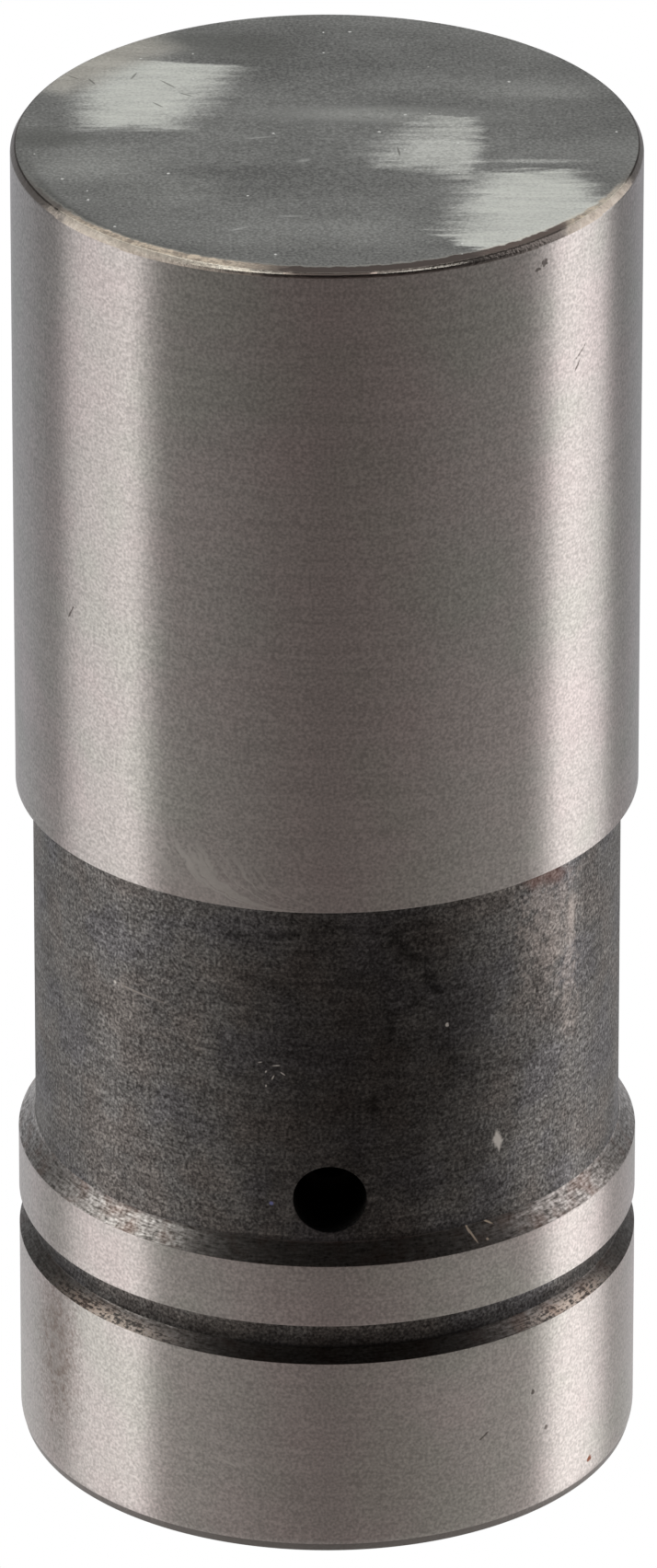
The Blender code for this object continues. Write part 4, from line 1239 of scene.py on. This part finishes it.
# Plunger: turned from bar and bored hollow for its oil, then hardened, ground and lapped to slide in the body. An oil
# groove runs round it at a cross hole, and the check ball's seat is cut in its end wall.
PLUNGER_RADIUS = 8.19
PLUNGER_FOOT = 9.1
PLUNGER_TOP = 35.172
PLUNGER_EDGE = 0.3
PLUNGER_GROOVE_DEPTH = 0.6
PLUNGER_GROOVE_HALF = 2.6
PLUNGER_HOLE_RADIUS = 1.0
DISC_POCKET_RADIUS = 5.9
DISC_POCKET_DEPTH = 0.85
RESERVOIR_RADIUS = 5.5
RESERVOIR_END = 31.772
RESERVOIR_CONE = 1.2
VALVE_HOLE_RADIUS = 1.114
VALVE_SEAT_RADIUS = 1.714
VALVE_FACE = 34.172
END_RECESS_RADIUS = 7.29
plunger_groove_radius = PLUNGER_RADIUS - PLUNGER_GROOVE_DEPTH
pocket_end = PLUNGER_FOOT + DISC_POCKET_DEPTH
plunger_rings = [
    (END_RECESS_RADIUS, PLUNGER_TOP),
    (PLUNGER_RADIUS - PLUNGER_EDGE, PLUNGER_TOP),
    (PLUNGER_RADIUS, PLUNGER_TOP - PLUNGER_EDGE),
    (PLUNGER_RADIUS, OIL_HOLE_HEIGHT + PLUNGER_GROOVE_HALF),
    (plunger_groove_radius, OIL_HOLE_HEIGHT + PLUNGER_GROOVE_HALF - PLUNGER_GROOVE_DEPTH),
    (plunger_groove_radius, OIL_HOLE_HEIGHT - PLUNGER_GROOVE_HALF + PLUNGER_GROOVE_DEPTH),
    (PLUNGER_RADIUS, OIL_HOLE_HEIGHT - PLUNGER_GROOVE_HALF),
    (PLUNGER_RADIUS, PLUNGER_FOOT + PLUNGER_EDGE),
    (PLUNGER_RADIUS - PLUNGER_EDGE, PLUNGER_FOOT),
    (DISC_POCKET_RADIUS, PLUNGER_FOOT),
    (DISC_POCKET_RADIUS, pocket_end),
    (RESERVOIR_RADIUS, pocket_end),
    (RESERVOIR_RADIUS, RESERVOIR_END - RESERVOIR_CONE),
    (VALVE_HOLE_RADIUS, RESERVOIR_END),
    (VALVE_HOLE_RADIUS, VALVE_FACE - (VALVE_SEAT_RADIUS - VALVE_HOLE_RADIUS)),
    (VALVE_SEAT_RADIUS, VALVE_FACE),
    (END_RECESS_RADIUS, VALVE_FACE),
]
plunger = turned_piece("plunger_turned_and_lapped", plunger_rings, 192, closed_loop=True)
round_rings(plunger_rings[:3] + plunger_rings[7:9], 0.06, 2)
round_rings([plunger_rings[3], plunger_rings[6]], 0.04, 2)
round_rings([plunger_rings[4], plunger_rings[5]], 0.2, 3)
round_rings([plunger_rings[9], plunger_rings[11]], 0.05, 2)
bpy.ops.object.mode_set(mode="OBJECT")
drill_hole(plunger, PLUNGER_HOLE_RADIUS, PLUNGER_RADIUS)
select_hole_rim(PLUNGER_HOLE_RADIUS, plunger_groove_radius - 0.7)
bpy.ops.mesh.bevel(offset=0.05 * MM, segments=2, affect="EDGES")
finish_shading(plunger)

# Lapped steel: bright and even, its faint rings running round the plunger, with an oily film
lapped, tree, shader = new_finish("lapped_plunger_steel")
lap_rings = add_node(tree, "ShaderNodeTexNoise", {
    "Vector": millimetres(tree, (0.2, 0.2, 8.0)), "Scale": 1.0, "Detail": 3.0,
})
oil_cloud = add_node(tree, "ShaderNodeTexNoise", {"Vector": millimetres(tree), "Scale": 0.4, "Detail": 3.0})
tone = add_node(tree, "ShaderNodeValToRGB", {
    "Fac": stirred(tree, lap_rings, (oil_cloud, 0.5)),
}, stops=((0.32, "#a9a49c"), (0.5, "#bdb8b0"), (0.68, "#cfcac2")))
around = add_node(tree, "ShaderNodeTangent", direction_type="RADIAL", axis="Z")
machined_surface(tree, shader, tone, lap_rings, (0.2, 0.28), sockets={
    "Anisotropic": 0.7, "Anisotropic Rotation": 0.25, "Coat Weight": 0.2, "Coat Roughness": 0.1, "Tangent": around,
})
plunger.data.materials.append(lapped)

# Turned inside: coarser rings from the boring bar, greyer, not ground afterwards
bored, tree, shader = new_finish("bored_plunger_steel")
tool_marks = add_node(tree, "ShaderNodeTexNoise", {
    "Vector": millimetres(tree, (0.3, 0.3, 9.0)), "Scale": 1.0, "Detail": 3.0, "Roughness": 0.6,
})
tone = add_node(tree, "ShaderNodeValToRGB", {
    "Fac": tool_marks,
}, stops=((0.3, "#77716b"), (0.5, "#918b84"), (0.7, "#b3ada5")))
machined_surface(tree, shader, tone, tool_marks, (0.42, 0.3), (tool_marks, 0.5, 0.02))
plunger.data.materials.append(bored)

# Oil groove: painted near black as shade, so nothing shines behind the body's oil hole
hole_shade_finish, tree, shader = new_finish("oil_groove_painted_black")
groove_mottle = add_node(tree, "ShaderNodeTexNoise", {"Vector": millimetres(tree), "Scale": 3.0, "Detail": 4.0})
tone = add_node(tree, "ShaderNodeValToRGB", {"Fac": groove_mottle}, stops=((0.35, "#0a0806"), (0.65, "#1d1712")))
rough = add_node(tree, "ShaderNodeMapRange", {"Value": groove_mottle, "To Min": 0.75, "To Max": 0.5})
groove_mottle_bump = add_node(tree, "ShaderNodeBump", {"Height": groove_mottle, "Strength": 0.4, "Distance": 0.03 * MM})
fill_sockets(tree, shader, {"Base Color": tone, "Roughness": rough, "Normal": groove_mottle_bump})
plunger.data.materials.append(hole_shade_finish)
LAPPED, BORED, HOLE_SHADE = range(3)
for face in plunger.data.polygons:
    centre = face.center
    radius, height = math.hypot(centre.x, centre.y) / MM, centre.z / MM
    in_groove = abs(height - OIL_HOLE_HEIGHT) < PLUNGER_GROOVE_HALF and radius < PLUNGER_RADIUS - 0.02
    inside = radius < RESERVOIR_RADIUS + 0.01 and height < VALVE_FACE - 0.01
    if in_groove and radius > RESERVOIR_RADIUS + 0.01:
        face.material_index = HOLE_SHADE
    elif inside:
        face.material_index = BORED
    else:
        face.material_index = LAPPED
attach(plunger, "plunger_assembly")
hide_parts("plunger")


# Metering disc: stamped from thin rolled strip, loose in its pocket under the plunger. The punch has rolled over one
# rim and left the other sharp.
DISC_RADIUS = 5.75
DISC_HOLE = 0.35
DISC_FOOT = 9.1
DISC_TOP = 9.6
disc_rings = [(DISC_HOLE, DISC_TOP), (DISC_RADIUS, DISC_TOP), (DISC_RADIUS, DISC_FOOT), (DISC_HOLE, DISC_FOOT)]
metering_disc = turned_piece("disc_stamped", disc_rings, 96, closed_loop=True)
round_rings([disc_rings[0], disc_rings[1]], 0.09, 3)
round_rings([disc_rings[2], disc_rings[3]], 0.025, 2)
finish_shading(metering_disc)

# Rolled strip: pale satin steel with the mill's fine straight lines, and a few dents from the press
strip, tree, shader = new_finish("rolled_steel_strip")
mill_lines = add_node(tree, "ShaderNodeTexNoise", {
    "Vector": millimetres(tree, (0.2, 7.0, 1.0)), "Scale": 1.0, "Detail": 3.0,
})
dents = add_node(tree, "ShaderNodeTexNoise", {"Vector": millimetres(tree), "Scale": 1.2, "Detail": 2.0})
tone = add_node(tree, "ShaderNodeValToRGB", {
    "Fac": mill_lines,
}, stops=((0.3, "#a19b92"), (0.5, "#b7b1a8"), (0.7, "#cdc7be")))
relief = add_node(tree, "ShaderNodeMath", {0: mill_lines, 1: dents}, operation="ADD")
machined_surface(tree, shader, tone, mill_lines, (0.26, 0.36), (relief, 0.3, 0.02))
metering_disc.data.materials.append(strip)
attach(metering_disc, "plunger_assembly")
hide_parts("metering_disc")


# Pushrod seat: a turned steel cup whose hollow takes the pushrod's ball end, hardened and polished there, with an oil
# hole through its web
SEAT_RADIUS = 8.15
SEAT_FOOT = 3.05
SEAT_TOP = 9.05
SEAT_EDGE = 0.3
SOCKET_RADIUS = 4.05
SOCKET_CENTRE = 3.45
SOCKET_LEAD = 0.7
SEAT_HOLE = 0.8
SOCKET_STEPS = 20
hole_angle = math.acos(SEAT_HOLE / SOCKET_RADIUS)
socket_rings = [
    (SOCKET_RADIUS * math.cos(hole_angle * step / SOCKET_STEPS),
     SOCKET_CENTRE + SOCKET_RADIUS * math.sin(hole_angle * step / SOCKET_STEPS))
    for step in range(SOCKET_STEPS + 1)
]
seat_rings = [
    (SEAT_HOLE, SEAT_TOP),
    (SEAT_RADIUS - SEAT_EDGE, SEAT_TOP),
    (SEAT_RADIUS, SEAT_TOP - SEAT_EDGE),
    (SEAT_RADIUS, SEAT_FOOT + SEAT_EDGE),
    (SEAT_RADIUS - SEAT_EDGE, SEAT_FOOT),
    (SOCKET_RADIUS + SOCKET_LEAD, SEAT_FOOT),
] + socket_rings
pushrod_seat = turned_piece("seat_turned_and_polished", seat_rings, 160, closed_loop=True)
round_rings(seat_rings[1:7], 0.06, 2)
round_rings([seat_rings[0], seat_rings[-1]], 0.08, 2)
finish_shading(pushrod_seat)

# Hardened seat steel: turned outside, with rings from the tool and a straw-brown tint from the tempering
tempered, tree, shader = new_finish("hardened_turned_seat_steel")
tool_marks = add_node(tree, "ShaderNodeTexNoise", {"Vector": unrolled(tree, 0.6), "Scale": 5.0, "Detail": 2.0})
tint = add_node(tree, "ShaderNodeTexNoise", {"Vector": millimetres(tree), "Scale": 0.3, "Detail": 2.0})
tone = add_node(tree, "ShaderNodeValToRGB", {
    "Fac": tint,
}, stops=((0.35, "#a09a92"), (0.55, "#aca291"), (0.7, "#9a8c7c")))
mark_tone = add_node(tree, "ShaderNodeMapRange", {
    "Value": tool_marks, "From Min": 0.3, "From Max": 0.7, "To Min": 0.8, "To Max": 1.15,
})
tone = add_node(tree, "ShaderNodeVectorMath", {0: tone, "Scale": mark_tone}, operation="SCALE")
machined_surface(tree, shader, tone, tool_marks, (0.38, 0.28), (tool_marks, 0.4, 0.01))
pushrod_seat.data.materials.append(tempered)

# Polished socket: burnished bright by the pushrod's end, duller towards its rim where the ball doesn't reach
socket, tree, shader = new_finish("burnished_socket_steel")
rub = add_node(tree, "ShaderNodeTexNoise", {"Vector": unrolled(tree, 1.2), "Scale": 3.0, "Detail": 3.0})
depth_in = add_node(tree, "ShaderNodeSeparateXYZ", {"Vector": millimetres(tree)}, out="Z")
unrubbed = add_node(tree, "ShaderNodeMapRange", {
    "Value": stirred(tree, depth_in, (rub, 1.2)), "From Min": 4.9, "From Max": 4.1,
})
tone = add_node(tree, "ShaderNodeValToRGB", {"Fac": rub}, stops=((0.3, "#bcb8b1"), (0.7, "#d6d2cb")))
tone = coated(tree, tone, (("#958e85", unrubbed, 1.0),))
rough = add_node(tree, "ShaderNodeMapRange", {"Value": unrubbed, "To Min": 0.12, "To Max": 0.34})
rough = stirred(tree, rough, (rub, 0.06))
fill_sockets(tree, shader, {"Base Color": tone, "Roughness": rough, "Metallic": 1.0})
pushrod_seat.data.materials.append(socket)
TEMPERED, BURNISHED = range(2)
for face in pushrod_seat.data.polygons:
    centre = face.center
    radius, height = math.hypot(centre.x, centre.y) / MM, centre.z / MM
    in_socket = math.hypot(radius, height - SOCKET_CENTRE) < SOCKET_RADIUS + 0.02 and height > SOCKET_CENTRE
    face.material_index = BURNISHED if in_socket else TEMPERED
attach(pushrod_seat, "plunger_assembly")
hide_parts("pushrod_seat")


# Retaining ring: round spring wire bent into an open ring, sprung into its groove inside the mouth. Its ends are
# sheared off square.
RING_WIRE = 0.6
RING_RADIUS = 8.25
RING_HEIGHT = 2.4
RING_OPENING = math.radians(26)
RING_STEPS = 96
bpy.ops.object.select_all(action="DESELECT")
bpy.ops.mesh.primitive_circle_add(
    vertices=20,
    radius=RING_WIRE * MM,
    fill_type="NOTHING",
    location=(0.0, 0.0, 0.0),
    enter_editmode=True,
)
bpy.ops.mesh.select_mode(type="VERT")
bpy.ops.mesh.select_all(action="SELECT")
bpy.ops.transform.rotate(value=math.pi / 2, orient_axis="X", center_override=(0.0, 0.0, 0.0))
bpy.ops.transform.translate(value=(RING_RADIUS * MM, 0.0, RING_HEIGHT * MM))
bpy.ops.transform.rotate(value=-RING_OPENING / 2, orient_axis="Z", center_override=(0.0, 0.0, 0.0))
for step in range(RING_STEPS):
    bpy.ops.mesh.extrude_region_move(TRANSFORM_OT_translate={"value": (0.0, 0.0, 0.0)})
    bpy.ops.transform.rotate(
        value=-(math.tau - RING_OPENING) / RING_STEPS, orient_axis="Z", center_override=(0.0, 0.0, 0.0)
    )
retaining_ring = bpy.context.object
retaining_ring.name = "ring_bent_from_wire"
close_wire_ends(0.08)
finish_shading(retaining_ring)

# Phosphated spring wire: dull dark grey with a fine crystalline coat, rubbed bright on its crests
wire_coat, tree, shader = new_finish("phosphated_spring_wire")
crystals = add_node(tree, "ShaderNodeTexNoise", {
    "Vector": millimetres(tree), "Scale": 7.0, "Detail": 3.0, "Roughness": 0.6,
})
rubbed = add_node(tree, "ShaderNodeTexNoise", {"Vector": millimetres(tree), "Scale": 0.8, "Detail": 3.0})
tone = add_node(tree, "ShaderNodeValToRGB", {
    "Fac": stirred(tree, crystals, (rubbed, 0.5)),
}, stops=((0.3, "#4f4c49"), (0.5, "#6d6965"), (0.7, "#9b958e")))
machined_surface(tree, shader, tone, crystals, (0.5, 0.36), (crystals, 0.4, 0.01))
retaining_ring.data.materials.append(wire_coat)
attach(retaining_ring, "body")
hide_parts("retaining_ring")
